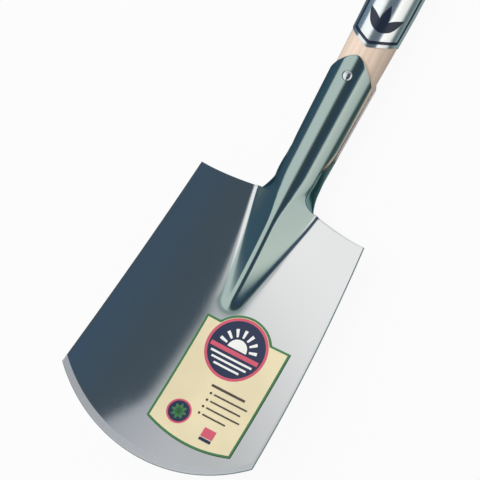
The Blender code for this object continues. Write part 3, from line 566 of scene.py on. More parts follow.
def wall_length(s):
    radius = strap_radius(s)
    end = wall_point(s)
    turn = min(socket_wall_angle(s), atan2(end.x, -end.y))
    return radius * turn + hypot(end.x - radius * sin(turn), end.y + radius * cos(turn))


def wrap_section(s, share):
    """From the socket's wide side, share 0, forward to the seam at the front strap's edge, share 1."""
    angle = socket_wall_angle(s)
    wide = wall_point(s)
    out = Vector((cos(angle), sin(angle)))
    edge_x, _, edge_f = front_section(s, 1)
    front_angle = min(front_half_arc(s) / ridge_radius(s), front_wall_angle(s))
    run = Vector((cos(front_angle), -sin(front_angle)))
    edge = Vector((edge_x, edge_f)) + run * SEAM_GAP
    offset = wide - edge
    reach = (offset.x * out.y - offset.y * out.x) / (run.x * out.y - run.y * out.x)
    corner = edge + run * reach
    weights = [(1 - share) ** 2, 2 * share * (1 - share) * WRAP_FULLNESS, share ** 2]
    return (wide * weights[0] + corner * weights[1] + edge * weights[2]) / sum(weights)


def back_section(s, share):
    """Point of the socket's outer face from its back, share 0, through its side, to the seam, share 1."""
    side = SOCKET_COLUMNS / (SOCKET_COLUMNS + WRAP_COLUMNS)
    if share <= side:
        x, b = arc_and_tangent(wall_length(s) * share / side, strap_radius(s), socket_wall_angle(s))
        return by_shaft(x, s, -b)
    point = wrap_section(s, (share - side) / (1 - side))
    return by_shaft(point.x, s, point.y)


def back_strap_grids():
    """Half of the back strap: its middle, from the flange up to the tongue, and the flange beside it."""
    columns = even_shares(SOCKET_COLUMNS + WRAP_COLUMNS)
    rows = []
    flange = []
    flange_tip = BLADE_LENGTH - FLANGE_TIP_BELOW
    for share in even_shares(BULGE_ROWS):
        level = mix(flange_tip + FLANGE_TIP_RADIUS, BLADE_LENGTH, share)
        outer = mix(FLANGE_TIP_RADIUS, FLANGE_TOP_HALF_WIDTH, share)
        inner = clamp(bulge_half_width(level), outer * NARROWEST_BULGE_COLUMNS,
                      outer * WIDEST_BULGE_COLUMNS)
        across = [inner * i / SOCKET_COLUMNS for i in range(SOCKET_COLUMNS + 1)]
        across += [mix(inner, outer, u) for u in even_shares(FLANGE_COLUMNS)[1:]]
        if share == 1:
            for i in range(SOCKET_COLUMNS + 1):
                length = wall_length(0) * i / SOCKET_COLUMNS
                across[i] = arc_and_tangent(length, strap_radius(0), SOCKET_WALL_ANGLE)[0]
        points = []
        for column, x in enumerate(across):
            ends = min(x, FLANGE_TIP_RADIUS)
            low = flange_tip + FLANGE_TIP_RADIUS - sqrt(FLANGE_TIP_RADIUS ** 2 - ends ** 2)
            if column <= SOCKET_COLUMNS:
                y = flange_face(x, BLADE_LENGTH) + bulge_rise(x, BLADE_LENGTH)
                high = SHAFT_FOOT.z + (y - SHAFT_FOOT.y) * tan(SHAFT_LEAN)
            else:
                high = top_edge(x) - FLANGE_SETBACK
            points.append(back_face(x, mix(low, high, share)))
        rows.append(points[:SOCKET_COLUMNS + 1])
        flange.append(points[SOCKET_COLUMNS:])
    top_row = rows[-1]
    plain_row = [back_section(0, u) for u in columns[:SOCKET_COLUMNS + 1]]
    opened = STRAP_WIDENS_TO - SEAM_OPENS_FROM
    levels = fillet_levels()
    levels += [mix(ROOT_FILLET, SEAM_OPENS_FROM, u) for u in even_shares(SOCKET_ROWS)[1:]]
    levels += [SEAM_OPENS_FROM + opened * u for u in even_shares(OPENING_ROWS)[1:]]
    for s in levels:
        fade = 1 - smooth(s / ROOT_FILLET)
        opening = smooth((s - SEAM_OPENS_FROM) / opened)
        points = []
        for i, u in enumerate(columns):
            closed = back_section(s, u)
            if i <= SOCKET_COLUMNS:
                closed = closed + (top_row[i] - plain_row[i]) * fade
            if opening > 0:
                full = wall_length(s) + hypot(*(wrap_section(s, 1) - wall_point(s)))
                along = u * mix(full, STRAP_HALF_ARC, opening)
                closed = closed.lerp(round_strap(s, along, -1), clamp(opening * ROUND_SOONER))
            points.append(closed)
        rows.append(points)
    for share in even_shares(BACK_STRAP_ROWS)[1:]:
        s = mix(STRAP_WIDENS_TO, TONGUE_STARTS, share)
        rows.append([round_strap(s, STRAP_HALF_ARC * u, -1) for u in columns])
    return [rows + tongue_rows(columns, -1), flange]


# Where the blade's frame lies in the world

def rest_matrix():
    behind_rivet = strap_radius(RIVET_AT) + PART_GAP + RIVET_TAIL_HEIGHT
    low_points = [(NECK_FROM, SHAFT_RADIUS), (GRIP_AT, GRIP_RADIUS)]
    tip_up = min(atan2(behind_rivet - radius, s - RIVET_AT) for s, radius in low_points)
    turn = Matrix.Rotation(-pi / 2 - SHAFT_LEAN - tip_up, 4, 'X')
    low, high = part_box("grip")
    return Matrix.Translation((low + high) / 2 - turn @ by_shaft(0, GRIP_AT, 0)) @ turn


REST = rest_matrix()


# Node helpers

def srgb(red, green, blue):
    """A colour as seen on a screen, 0 to 255, as the linear colour that nodes take."""
    values = [value / 255 for value in (red, green, blue)]
    return tuple(value / 12.92 if value <= 0.04045 else ((value + 0.055) / 1.055) ** 2.4
                 for value in values)


def nodes_of(material):
    return material.node_tree, material.node_tree.nodes["Principled BSDF"]


def new_material(name):
    made = bpy.data.materials.new(name)
    made.use_nodes = True
    return made, *nodes_of(made)


def add(tree, kind, **values):
    node = tree.nodes.new(kind)
    for name, value in values.items():
        setattr(node, name, value)
    return node


def stretched(tree, scale):
    """The piece's own coordinates, scaled by axis."""
    coordinates = add(tree, "ShaderNodeTexCoord")
    mapping = add(tree, "ShaderNodeMapping")
    mapping.inputs["Scale"].default_value = scale
    tree.links.new(coordinates.outputs["Object"], mapping.inputs["Vector"])
    return mapping.outputs["Vector"]


def noise(tree, scale, detail=2.0):
    vector = stretched(tree, scale)
    node = add(tree, "ShaderNodeTexNoise")
    node.inputs["Scale"].default_value = 1.0
    node.inputs["Detail"].default_value = detail
    tree.links.new(vector, node.inputs["Vector"])
    return node.outputs["Fac"]


def ranged(tree, value, low, high, to_low, to_high, ease='LINEAR'):
    node = add(tree, "ShaderNodeMapRange", interpolation_type=ease)
    for name, number in (("From Min", low), ("From Max", high), ("To Min", to_low), ("To Max", to_high)):
        node.inputs[name].default_value = number
    tree.links.new(value, node.inputs["Value"])
    return node.outputs["Result"]


def maths(tree, operation, first, second=None):
    node = add(tree, "ShaderNodeMath", operation=operation)
    for socket, value in zip(node.inputs, (first, second)):
        if isinstance(value, (int, float)):
            socket.default_value = value
        elif value is not None:
            tree.links.new(value, socket)
    return node.outputs["Value"]


def colour_mix(tree, factor, first, second):
    node = add(tree, "ShaderNodeMix", data_type='RGBA')
    for name, value in (("Factor", factor), ("A", first), ("B", second)):
        if isinstance(value, tuple):
            node.inputs[name].default_value = (*value, 1)
        else:
            tree.links.new(value, node.inputs[name])
    return next(socket for socket in node.outputs if socket.type == 'RGBA')


def bump(tree, shader, height, strength, distance):
    node = add(tree, "ShaderNodeBump")
    node.inputs["Strength"].default_value = strength
    node.inputs["Distance"].default_value = distance
    tree.links.new(height, node.inputs["Height"])
    tree.links.new(node.outputs["Normal"], shader.inputs["Normal"])


# Materials

def steel(name, colour, roughness, grain_scale=(900, 30, 900)):
    """Polished stainless sheet: fine polishing lines, faint smears and a little waviness."""
    made, tree, shader = new_material(name)
    lines = noise(tree, grain_scale)
    smears = noise(tree, (9, 6, 9), 3.0)
    tone = ranged(tree, smears, *WIDE, 0.0, 1.0)
    cooler = tuple(channel * share for channel, share in zip(colour, (0.97, 0.99, 1.0)))
    tree.links.new(colour_mix(tree, tone, cooler, colour), shader.inputs["Base Color"])
    shader.inputs["Metallic"].default_value = 1.0
    streaks = ranged(tree, lines, *WIDE, roughness * 0.8, roughness * 1.15)
    worn = ranged(tree, smears, 0.35, 0.75, 0.0, roughness * 0.3)
    tree.links.new(maths(tree, 'ADD', streaks, worn), shader.inputs["Roughness"])
    bump(tree, shader, lines, 0.05, 0.00002)
    return made


def marked(tree, name, low, high):
    """0 to 1 between two values that are noted on the mesh's points."""
    node = add(tree, "ShaderNodeAttribute", attribute_name=name)
    return ranged(tree, node.outputs["Fac"], low, high, 0, 1, 'SMOOTHSTEP')


def blade_steel_and_painted_reflection():
    """Bright on the plate; satin on the frog and strap, with a darker, teal-tinted colour there as
    painted reflection; ground along the cutting edge.
    """
    made = steel("blade_steel_and_painted_reflection", PLATE_STEEL, 0.085)
    tree, shader = nodes_of(made)
    satin_and_painted_reflection = marked(tree, "rise", 0.15, 0.45)
    ground = marked(tree, "edge_distance", GROUND_WIDTH + GROUND_BLUR, GROUND_WIDTH - GROUND_BLUR)
    plate = shader.inputs["Base Color"].links[0].from_socket
    # painted reflection: the frog and front strap take the darker, teal-tinted colour
    base = colour_mix(tree, ground, colour_mix(tree, satin_and_painted_reflection, plate, SOCKET_PAINTED_REFLECTION), GROUND_STEEL)
    tree.links.new(base, shader.inputs["Base Color"])
    fine = shader.inputs["Roughness"].links[0].from_socket
    satin = maths(tree, 'ADD', fine, maths(tree, 'MULTIPLY', satin_and_painted_reflection, SATIN_ROUGHER))
    rough = maths(tree, 'ADD', satin, maths(tree, 'MULTIPLY', ground, GROUND_ROUGHER))
    tree.links.new(rough, shader.inputs["Roughness"])
    tree.links.new(ranged(tree, ground, 0, 1, 1.0, GROUND_METALLIC), shader.inputs["Metallic"])
    return made


def wood(name, light, dark, along):
    """Straight-grained ash: long growth lines with fine open pores, under a satin lacquer."""
    made, tree, shader = new_material(name)

    def scaled(across, length):
        return tuple(length if axis == along else across for axis in "XYZ")

    bend = noise(tree, scaled(35, 3.5))
    drift = noise(tree, scaled(14, 2.0))
    rings = add(tree, "ShaderNodeTexWave", wave_type='BANDS', bands_direction='X', wave_profile='SAW')
    rings.inputs["Scale"].default_value = 1.0
    rings.inputs["Distortion"].default_value = 7.0
    rings.inputs["Detail"].default_value = 2.0
    rings.inputs["Detail Scale"].default_value = 0.8
    tree.links.new(stretched(tree, scaled(62, 3.0)), rings.inputs["Vector"])
    pores = noise(tree, scaled(2600, 60))
    growth = maths(tree, 'MULTIPLY', rings.outputs["Fac"], ranged(tree, bend, *WIDE, 0.35, 1.0))
    grain = colour_mix(tree, growth, light, dark)
    base = colour_mix(tree, ranged(tree, drift, *STEEP, 0.0, 0.35), grain, dark)
    pits = ranged(tree, pores, 0.52, 0.72, 0.0, 0.3)
    pitted = colour_mix(tree, pits, base, tuple(channel * 0.72 for channel in dark))
    tree.links.new(pitted, shader.inputs["Base Color"])
    tree.links.new(ranged(tree, pores, *WIDE, 0.36, 0.5), shader.inputs["Roughness"])
    shader.inputs["Coat Weight"].default_value = 0.12
    shader.inputs["Coat Roughness"].default_value = 0.25
    bump(tree, shader, pores, 0.12, 0.0002)
    return made


def printed(name, colour, roughness=0.42):
    """Ink on coated paper, with a faint tooth and a slight drift in tone."""
    made, tree, shader = new_material(name)
    tooth = noise(tree, (1500, 1500, 1500))
    drift = noise(tree, (30, 30, 30))
    darker = tuple(channel * 0.93 for channel in colour)
    toned = colour_mix(tree, ranged(tree, drift, *STEEP, 0.0, 1.0), colour, darker)
    tree.links.new(toned, shader.inputs["Base Color"])
    rough = ranged(tree, tooth, *WIDE, roughness * 0.9, roughness * 1.1)
    tree.links.new(rough, shader.inputs["Roughness"])
    bump(tree, shader, tooth, 0.05, 0.00005)
    return made


def foil(name, colour, metallic, roughness):
    """Metal under a thin varnish, slightly crinkled; less metallic where white is printed on it."""
    made, tree, shader = new_material(name)
    crinkle = noise(tree, (90, 45, 90), 1.0)
    fine = noise(tree, (1200, 1200, 1200))
    tint = tuple(channel * 0.95 for channel in colour)
    tree.links.new(colour_mix(tree, ranged(tree, crinkle, *STEEP, 0, 1), tint, colour),
                   shader.inputs["Base Color"])
    shader.inputs["Metallic"].default_value = metallic
    rough = ranged(tree, fine, *WIDE, roughness * 0.8, roughness * 1.2)
    tree.links.new(rough, shader.inputs["Roughness"])
    bump(tree, shader, crinkle, 0.2, 0.0004)
    return made


# Making pieces

def ride(made):
    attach(made, "root")
    return made


def add_object(name, mesh, finish):
    made = bpy.data.objects.new(name, mesh)
    mesh.materials.append(finish)
    bpy.context.scene.collection.objects.link(made)
    return made


def finished(bm, name):
    mesh = bpy.data.meshes.new(name)
    bm.to_mesh(mesh)
    bm.free()
    return mesh


def sheet_mesh(name, grids, flip):
    """An open surface from grids of points, joined where their points meet."""
    bm = bmesh.new()
    for rows in grids:
        verts = [[bm.verts.new(point) for point in row] for row in rows]
        for low, high in zip(verts, verts[1:]):
            for i in range(min(len(low), len(high)) - 1):
                corners = [low[i], low[i + 1], high[i + 1], high[i]]
                bm.faces.new(corners[::-1] if flip else corners)
    bmesh.ops.remove_doubles(bm, verts=bm.verts, dist=SAME_POINT)
    bmesh.ops.delete(bm, geom=[vertex for vertex in bm.verts if not vertex.link_faces], context='VERTS')
    return finished(bm, name)


def settle(made):
    """Applies the piece's modifiers and shades it smooth between sharp edges."""
    bpy.context.view_layer.update()
    graph = bpy.context.evaluated_depsgraph_get()
    mesh = bpy.data.meshes.new_from_object(made.evaluated_get(graph))
    made.modifiers.clear()
    made.data = mesh
    mesh.shade_smooth()
    mesh.set_sharp_from_angle(angle=SHARP_FROM)
    return made


def place(made, matrix):
    """Moves the mesh itself, so that the piece's own coordinates are the world's."""
    made.data.transform(matrix)
    made.data.update()
    return made


def sheet_piece(name, grids, finish, rim_finish, flip=False):
    """Half a sheet mirrored over x = 0, given its thickness and a small radius on its rims."""
    made = add_object(name, sheet_mesh(name, grids, flip), finish)
    made.data.materials.append(rim_finish)
    mirror = made.modifiers.new("mirror", 'MIRROR')
    mirror.use_clip = True
    mirror.merge_threshold = MERGE_WITHIN
    shell = made.modifiers.new("thickness", 'SOLIDIFY')
    shell.thickness = SHEET
    shell.offset = -1
    shell.use_even_offset = True
    shell.use_quality_normals = True
    shell.material_offset_rim = 1
    rim = made.modifiers.new("rim", 'BEVEL')
    rim.width = RIM_BEVEL
    rim.segments = 2
    rim.limit_method = 'ANGLE'
    rim.angle_limit = RIM_FROM
    return settle(made)


def turned(name, profile, finish, sides):
    """A profile of (radius, height) points from top to bottom, turned about Z."""
    bm = bmesh.new()
    points = [bm.verts.new((radius, 0, height)) for radius, height in profile]
    for first, second in zip(points, points[1:]):
        bm.edges.new((first, second))
    made = add_object(name, finished(bm, name), finish)
    screw = made.modifiers.new("turn", 'SCREW')
    screw.steps = sides
    screw.render_steps = sides
    screw.use_merge_vertices = True
    screw.merge_threshold = MERGE_WITHIN
    return settle(made)


def along_shaft(s):
    return REST @ Matrix.Translation(by_shaft(0, s, 0)) @ Matrix.Rotation(SHAFT_LEAN, 4, 'X')


def mark_blade(mesh):
    """Notes on every point its rise over the plate, as a share, and its distance to the edge in mm."""
    rise = mesh.attributes.new("rise", 'FLOAT', 'POINT')
    edge = mesh.attributes.new("edge_distance", 'FLOAT', 'POINT')
    for i, vertex in enumerate(mesh.vertices):
        x, _, z = vertex.co
        on_strap = (vertex.co - SHAFT_FOOT).dot(SHAFT_DIRECTION) > PART_GAP and abs(x) < FROG_HALF_WIDTH
        full = SATIN_AND_PAINTED_REFLECTION_RISE + SATIN_AND_PAINTED_REFLECTION_RISE_GROWTH * frog_rise(0, z) ** 2
        rise.data[i].value = 1.0 if on_strap else frog_rise(x, z) / full
        edge.data[i].value = 1000 * (z - cutting_edge(x))


def make_blade():
    rim = steel("blade_rim", PLATE_STEEL, 0.2)
    made = sheet_piece("blade_sheet", [blade_rows()], blade_steel_and_painted_reflection(), rim)
    mark_blade(made.data)
    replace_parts(ride(place(made, REST)), "blade")


def back_strap_steel_with_painted_shade(name, colour, roughness, fold_from):
    """Painted shade: darker from a depth behind the shaft's axis, in mm, forward to the seam."""
    made = steel(name, colour, roughness)
    tree, shader = nodes_of(made)
    plain = shader.inputs["Base Color"].links[0].from_socket
    # painted shade: the dark teal colour mixed in forward to the seam
    painted_shade_colour = colour_mix(tree, marked(tree, "forward", fold_from, FOLD_TO), plain, FOLD_PAINTED_SHADE)
    tree.links.new(painted_shade_colour, shader.inputs["Base Color"])
    return made


def mark_back_strap(mesh):
    """Notes on every point how far it lies in front of the shaft's axis, in mm."""
    forward = mesh.attributes.new("forward", 'FLOAT', 'POINT')
    for i, vertex in enumerate(mesh.vertices):
        forward.data[i].value = 1000 * (vertex.co - SHAFT_FOOT).dot(SHAFT_FRONT)


def make_back_strap():
    # the rim takes the painted shade too, from nearer the seam
    rim = back_strap_steel_with_painted_shade("back_strap_rim", PLATE_STEEL, 0.42, FOLD_RIM_FROM)
    nodes_of(rim)[1].inputs["Metallic"].default_value = RIM_METALLIC
    # painted reflection: the back strap's darker, teal-tinted colour, with painted shade towards the seam
    polish = back_strap_steel_with_painted_shade("back_strap_painted_reflection", SOCKET_PAINTED_REFLECTION, 0.13, FOLD_FROM)
    made = sheet_piece("back_strap_sheet", back_strap_grids(), polish, rim, flip=True)
    mark_back_strap(made.data)
    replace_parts(ride(place(made, REST)), "back_strap")


def make_rivet():
    seat = strap_radius(RIVET_AT) + PART_GAP
    turns = [pi / 2 * i / RIVET_ARC_STEPS for i in range(1, RIVET_ARC_STEPS + 1)]
    profile = [(0, seat + RIVET_HEAD_HEIGHT)]
    profile += [(RIVET_HEAD_RADIUS * sin(turn), seat + RIVET_HEAD_HEIGHT * cos(turn)) for turn in turns]
    profile += [(RIVET_HEAD_RADIUS * RIVET_SHANK, seat - PART_GAP),
                (RIVET_TAIL_RADIUS * RIVET_SHANK, PART_GAP - seat)]
    profile += [(RIVET_TAIL_RADIUS * sin(turn), -seat - RIVET_TAIL_HEIGHT * cos(turn))
                for turn in reversed(turns)]
    profile += [(0, -seat - RIVET_TAIL_HEIGHT)]
    polish = steel("rivet_polish", PLATE_STEEL, 0.14, EVEN_GRAIN)
    made = turned("rivet_polished", profile, polish, RIVET_SIDES)
    place(made, along_shaft(RIVET_AT) @ Matrix.Rotation(pi / 2, 4, 'X'))
    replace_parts(ride(made), "strap_rivet")


# The label: its outline, and shapes printed on it, in its own width and height

def label_point(across, up, lift):
    x = LABEL_LEFT + across * cos(LABEL_TILT) - up * sin(LABEL_TILT)
    z = LABEL_BOTTOM + across * sin(LABEL_TILT) + up * cos(LABEL_TILT)
    point = blade_front(x, z)
    step = 0.0005
    slope_x = (blade_front(x + step, z).y - blade_front(x - step, z).y) / (2 * step)
    slope_z = (blade_front(x, z + step).y - blade_front(x, z - step).y) / (2 * step)
    return point + Vector((slope_x, -1, slope_z)).normalized() * lift


def label_top(across, inset):
    centre = LABEL_HEIGHT - LABEL_DISC_DROP
    under = (LABEL_DISC_RADIUS - inset) ** 2 - (across - LABEL_DISC_X) ** 2
    return max(LABEL_HEIGHT - inset, centre + sqrt(max(under, 0)))


def label_bottom(across, inset):
    return inset - LABEL_BOTTOM_BOW * (1 - (2 * across / LABEL_WIDTH - 1) ** 2)


def label_panel(inset):
    """The label's outline drawn in by an inset, as a grid."""
    grid = []
    for share in even_shares(LABEL_ROWS):
        points = []
        for u in even_shares(LABEL_COLUMNS):
            across = mix(inset, LABEL_WIDTH - inset, u)
            low, high = label_bottom(across, inset), label_top(across, inset)
            points.append((across, mix(low, high, share)))
        grid.append(points)
    return grid


def fan(centre, inner, outer, start, end, sides, rings=6):
    """A patch between two radii and two angles, as a grid."""
    grid = []
    for share in even_shares(rings):
        radius = mix(inner, outer, share)
        turns = [mix(start, end, u) for u in even_shares(sides)]
        grid.append([(centre[0] + radius * cos(turn), centre[1] + radius * sin(turn)) for turn in turns])
    return grid


def spot(centre, radius, sides=96, rings=6):
    return fan(centre, 0.0, radius, 0, 2 * pi, sides, rings)


def bar(left, right, low, high, steps=12):
    return [[(mix(left, right, u), up) for u in even_shares(steps)] for up in (low, high)]


def leaf(foot, length, width, turn, steps=14, lines=9):
    """A pointed leaf from its foot, at a turn from straight up."""
    grid = [[] for _ in range(lines)]
    for i in range(steps + 1):
        along = length * i / steps
        half = width / 2 * sin(pi * (i / steps) ** 0.8)
        for i_line, line in enumerate(grid):
            side = mix(-half, half, i_line / (lines - 1))
            line.append((foot[0] + along * sin(turn) + side * cos(turn),
                         foot[1] + along * cos(turn) - side * sin(turn)))
    return grid


def print_on(name, grids, point, lift, finish):
    """Flat patches laid on a curved piece; point turns their coordinates into space."""
    placed = [[[point(across, up, lift) for across, up in row] for row in grid] for grid in grids]
    mesh = sheet_mesh(name, placed, False)
    mesh.shade_smooth()
    return ride(place(add_object(name, mesh, finish), REST))


def make_label():
    cream = printed("label_cream", srgb(230, 217, 180))
    green = printed("label_green", srgb(62, 120, 74))
    navy = printed("label_navy", srgb(32, 44, 74))
    rose = printed("label_rose", srgb(206, 88, 110))
    white = printed("label_white", srgb(240, 240, 236))
    ink = printed("label_ink", srgb(72, 66, 58))
    base = PART_GAP + LABEL_THICKNESS
    disc = (LABEL_DISC_X, LABEL_HEIGHT - LABEL_DISC_DROP)
    disc_radius = LABEL_DISC_RADIUS - LABEL_BORDER - DISC_MARGIN
    half, low, high = SUN_GROUND
    ground = bar(disc[0] - half, disc[0] + half, disc[1] - low, disc[1] - high)
    sun = [fan(disc, 0.0, SUN_RADIUS, 0, pi, 36)]
    sun += [fan(disc, *SUN_RAY_ENDS, pi * (i + SUN_RAY_GAP) / SUN_RAYS,
                pi * (i + 1 - SUN_RAY_GAP) / SUN_RAYS, 4) for i in range(SUN_RAYS)]
    sun += [bar(disc[0] - half, disc[0] + half, disc[1] - down, disc[1] - down + SUN_LINE_HEIGHT)
            for half, down in SUN_LINES]
    petals = [leaf(SEAL_AT, *PETAL_SIZE, 2 * pi * i / PETALS) for i in range(PETALS)]
    rules = [bar(*HEADING)]
    for i, (left, right) in enumerate(RULES):
        up = RULE_TOP - RULE_STEP * i
        rules.append(bar(left, right, up, up + RULE_HEIGHT))
        rules.append(spot((left - DOT_SPACE, up + RULE_HEIGHT / 2), DOT_RADIUS, 16, 1))
    layers = [
        ("label_border", [label_panel(0.0)], green),
        ("label_field", [label_panel(LABEL_BORDER)], cream),
        ("label_ring", [spot(disc, disc_radius), spot(SEAL_AT, SEAL_RADIUS)], rose),
        ("label_disc", [spot(disc, disc_radius - DISC_RING),
                        spot(SEAL_AT, SEAL_RADIUS - SEAL_RING)], navy),
        ("label_ground", [ground], rose),
        ("label_sun", sun, white),
        ("label_petals", petals, green),
        ("label_rules", rules, ink),
        ("label_stamp", [bar(*STAMP)], rose),
        ("label_stamp_foot", [bar(*STAMP_FOOT)], navy),
    ]
    for stage, (name, grids, finish) in enumerate(layers, 1):
        made = print_on(name, grids, label_point, base + PRINT_LIFT * stage, finish)
        if name == "label_border":
            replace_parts(made, "blade_label")


# The band: a foil sleeve with a dark outline round a pale field

def band_bottom(along):
    reach = min(abs(along - BAND_TURN), BAND_SLOPE_REACH)
    rise = sqrt((BAND_SLOPE * reach) ** 2 + (BAND_SLOPE * BAND_SLOPE_ROUNDING) ** 2)
    return BAND_START + rise - BAND_SLOPE * BAND_SLOPE_ROUNDING


def band_point(along, s, lift):
    radius = shaft_radius(s) + SHAFT_FIT + lift
    return by_shaft(radius * sin(along / SHAFT_RADIUS), s, radius * cos(along / SHAFT_RADIUS))


def band_strip(left, right, low, high, columns, rows):
    """A patch between two heights over the band's lower edge, or up to a level line."""
    grid = []
    for share in even_shares(rows):
        points = []
        for u in even_shares(columns):
            along = mix(left, right, u)
            start = band_bottom(along) + low
            end = high if high > BAND_START else band_bottom(along) + high
            points.append((along, mix(start, end, share)))
        grid.append(points)
    return grid


def make_band():
    def layer(name, grids, stage, finish):
        lift = BAND_THICKNESS + PRINT_LIFT * stage
        return print_on(name, grids, band_point, lift, finish)

    half = pi * SHAFT_RADIUS
    top = BAND_START + BAND_HEIGHT
    silver = foil("silver_foil", (0.80, 0.84, 0.85), 0.95, 0.18)
    whole = band_strip(-half, half, 0.0, top, 3 * BAND_COLUMNS, BAND_ROWS)
    sleeve = layer("band_foil_sleeve", [whole], 0, silver)
    shell = sleeve.modifiers.new("thickness", 'SOLIDIFY')
    shell.thickness = BAND_THICKNESS
    shell.offset = -1
    settle(sleeve)
    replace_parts(sleeve, "shaft_band")
    dark = printed("band_ink", srgb(28, 38, 56), 0.3)
    line = BAND_LINE
    left, right = BAND_FIELD
    lower = BAND_MARGIN
    upper = top - BAND_MARGIN
    outline = [band_strip(left, right, lower, lower + line, BAND_COLUMNS, 2),
               band_strip(left, left + line, lower, upper, 2, BAND_ROWS),
               band_strip(right - line, right, lower, upper, 2, BAND_ROWS),
               bar(left, right, upper - line, upper, BAND_COLUMNS)]
    layer("band_outline", outline, 2, dark)
    white = foil("white_foil", (0.90, 0.94, 0.94), 0.93, 0.18)
    field = band_strip(left + line, right - line, lower + line, upper - line, BAND_COLUMNS, 30)
    layer("band_field", [field], 1, white)
    foot = ((left + right) / 2, BAND_START + BAND_LEAF_FOOT)
    motif = [leaf(foot, *BAND_LEAF, turn) for turn in (-BAND_LEAF_TURN, 0, BAND_LEAF_TURN)]
    layer("band_motif", motif, 2, dark)


# Stage, light and camera

def make_floor():
    bm = bmesh.new()
    bmesh.ops.create_grid(bm, x_segments=1, y_segments=1, size=FLOOR_REACH)
    mesh = finished(bm, "floor")
    made, tree, shader = new_material("floor_white")
    shader.inputs["Base Color"].default_value = (*FLOOR_TONE, 1)
    shader.inputs["Roughness"].default_value = 0.9
    glow = add(tree, "ShaderNodeEmission")
    path = add(tree, "ShaderNodeLightPath")
    share = maths(tree, 'MULTIPLY', path.outputs["Is Camera Ray"], FLOOR_WHITE)
    blend = add(tree, "ShaderNodeMixShader")
    tree.links.new(share, blend.inputs["Fac"])
    tree.links.new(shader.outputs["BSDF"], blend.inputs[1])
    tree.links.new(glow.outputs["Emission"], blend.inputs[2])
    tree.links.new(blend.outputs["Shader"], tree.nodes["Material Output"].inputs["Surface"])
    floor = add_object("floor", mesh, made)
    floor.visible_glossy = False


def stored(light):
    return tuple(channel / STUDIO_PEAK for channel in light)


def make_world():
    """White for the camera, a plain white dome for light, and a studio of soft bands in reflections."""
    world = bpy.data.worlds.new("studio")
    bpy.context.scene.world = world
    world.use_nodes = True
    tree = world.node_tree
    background = tree.nodes["Background"]
    direction = add(tree, "ShaderNodeTexCoord")
    axes = add(tree, "ShaderNodeSeparateXYZ")
    tree.links.new(direction.outputs["Generated"], axes.inputs["Vector"])
    across = maths(tree, 'DEGREES', maths(tree, 'ARCTAN2', axes.outputs["X"], axes.outputs["Z"]))
    along = maths(tree, 'DEGREES', maths(tree, 'ARCSINE', axes.outputs["Y"]))
    shifted = maths(tree, 'ADD', across, ranged(tree, along, *STUDIO_DRIFT))
    ramp = add(tree, "ShaderNodeValToRGB")
    stops = ramp.color_ramp.elements
    while len(stops) < len(STUDIO_BANDS):
        stops.new(0.5)
    for stop, (angle, light) in zip(stops, STUDIO_BANDS):
        stop.position = (angle + 180) / 360
        stop.color = (*stored(light), 1)
    tree.links.new(ranged(tree, shifted, -180, 180, 0, 1), ramp.inputs["Fac"])
    card = maths(tree, 'MULTIPLY', ranged(tree, along, *CARD_FADES_ALONG, 'SMOOTHSTEP'),
                 ranged(tree, across, *CARD_LEFT_EDGE, 'SMOOTHSTEP'))
    past_edge = maths(tree, 'SUBTRACT', across, ranged(tree, along, *CARD_RIGHT_EDGE))
    card = maths(tree, 'MULTIPLY', card, ranged(tree, past_edge, *CARD_RIGHT_BLUR, 'SMOOTHSTEP'))
    lit = colour_mix(tree, card, ramp.outputs["Color"], stored(STUDIO_CARD))
    aside = maths(tree, 'MAXIMUM', across, -END_SLANT_REACH)
    aside = maths(tree, 'MULTIPLY', maths(tree, 'MINIMUM', aside, END_SLANT_REACH), END_SLANT)
    ends = ranged(tree, maths(tree, 'SUBTRACT', along, aside), *END_STARTS, 'SMOOTHSTEP')
    beyond = colour_mix(tree, ranged(tree, across, *END_NEAR_TO_FAR), stored(STUDIO_END_NEAR),
                        stored(STUDIO_END_FAR))
    mirrored = colour_mix(tree, ends, lit, beyond)
    path = add(tree, "ShaderNodeLightPath")
    seen = colour_mix(tree, path.outputs["Is Glossy Ray"], (1.0, 1.0, 1.0), mirrored)
    tree.links.new(seen, background.inputs["Color"])
    clear = maths(tree, 'MAXIMUM', path.outputs["Is Camera Ray"], path.outputs["Is Transmission Ray"])
    strength = ranged(tree, clear, 0, 1, WORLD_LIGHT, 1.0)
    polished = maths(tree, 'MULTIPLY', path.outputs["Is Glossy Ray"], STUDIO_PEAK - WORLD_LIGHT)
    again = ranged(tree, path.outputs["Glossy Depth"], 1, 2, 1.0, STUDIO_MIRRORED_TWICE)
    tree.links.new(maths(tree, 'MULTIPLY', maths(tree, 'ADD', strength, polished), again),
                   background.inputs["Strength"])


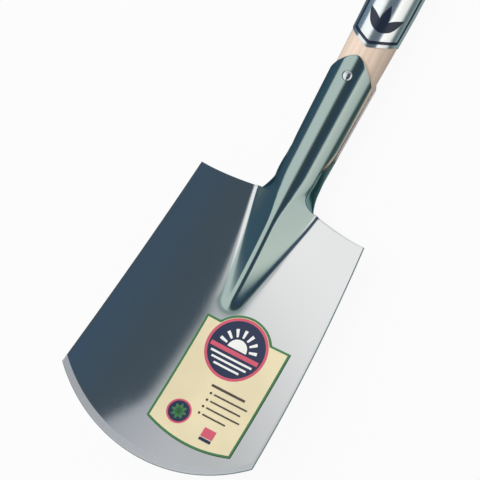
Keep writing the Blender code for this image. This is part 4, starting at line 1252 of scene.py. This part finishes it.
def make_lamp():
    lamp = bpy.data.lights.new("key_lamp", 'AREA')
    lamp.shape = 'SQUARE'
    lamp.size = LAMP_SIDE
    lamp.energy = LAMP_ENERGY
    made = bpy.data.objects.new("key_lamp", lamp)
    bpy.context.scene.collection.objects.link(made)
    aim = (Vector(LAMP_AIM) - Vector(LAMP_AT)).to_track_quat('-Z', 'Y')
    made.matrix_world = Matrix.Translation(LAMP_AT) @ aim.to_matrix().to_4x4()
    made.visible_glossy = False


def make_camera():
    back = Vector((sin(CAMERA_YAW) * cos(CAMERA_PITCH), -cos(CAMERA_YAW) * cos(CAMERA_PITCH),
                   -sin(CAMERA_PITCH)))
    level = Vector((cos(CAMERA_YAW), sin(CAMERA_YAW), 0))
    upright = back.cross(level)
    right = level * cos(CAMERA_ROLL) + upright * sin(CAMERA_ROLL)
    up = upright * cos(CAMERA_ROLL) - level * sin(CAMERA_ROLL)
    focal = PIXELS_PER_METRE * CAMERA_DISTANCE
    aside = (AIM_PIXEL[0] - PHOTO_SIDE / 2) * CAMERA_DISTANCE / focal
    above = (PHOTO_SIDE / 2 - AIM_PIXEL[1]) * CAMERA_DISTANCE / focal
    eye = Vector((0, 0, AIM_HEIGHT)) + back * CAMERA_DISTANCE - right * aside - up * above
    camera = bpy.data.cameras.new("camera")
    camera.sensor_width = CAMERA_SENSOR
    camera.lens = focal * CAMERA_SENSOR / PHOTO_SIDE
    camera.clip_end = 20
    made = bpy.data.objects.new("camera", camera)
    bpy.context.scene.collection.objects.link(made)
    turn = Matrix((right, up, back)).transposed().to_4x4()
    made.matrix_world = REST @ Matrix.Translation(eye) @ turn
    bpy.context.scene.camera = made


def finish_frame_nodes():
    """The nodes that keep their own shape get their finish here."""
    finishes = {
        "shaft": wood("ash_grain", srgb(241, 221, 204), srgb(216, 186, 159), 'Y'),
        "grip": wood("grip_grain", srgb(240, 221, 204), srgb(214, 186, 160), 'X'),
        "grip_pin": steel("pin_polish", PLATE_STEEL, 0.25, EVEN_GRAIN),
        "tenon_wedge": wood("wedge_grain", srgb(190, 158, 124), srgb(160, 126, 94), 'Y'),
    }
    for name, finish in finishes.items():
        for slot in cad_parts[name].material_slots:
            slot.material = finish


bpy.context.scene.view_settings.view_transform = 'Standard'
make_camera()
make_world()
make_floor()
make_lamp()
make_blade()
make_back_strap()
make_rivet()
finish_frame_nodes()
make_label()
make_band()
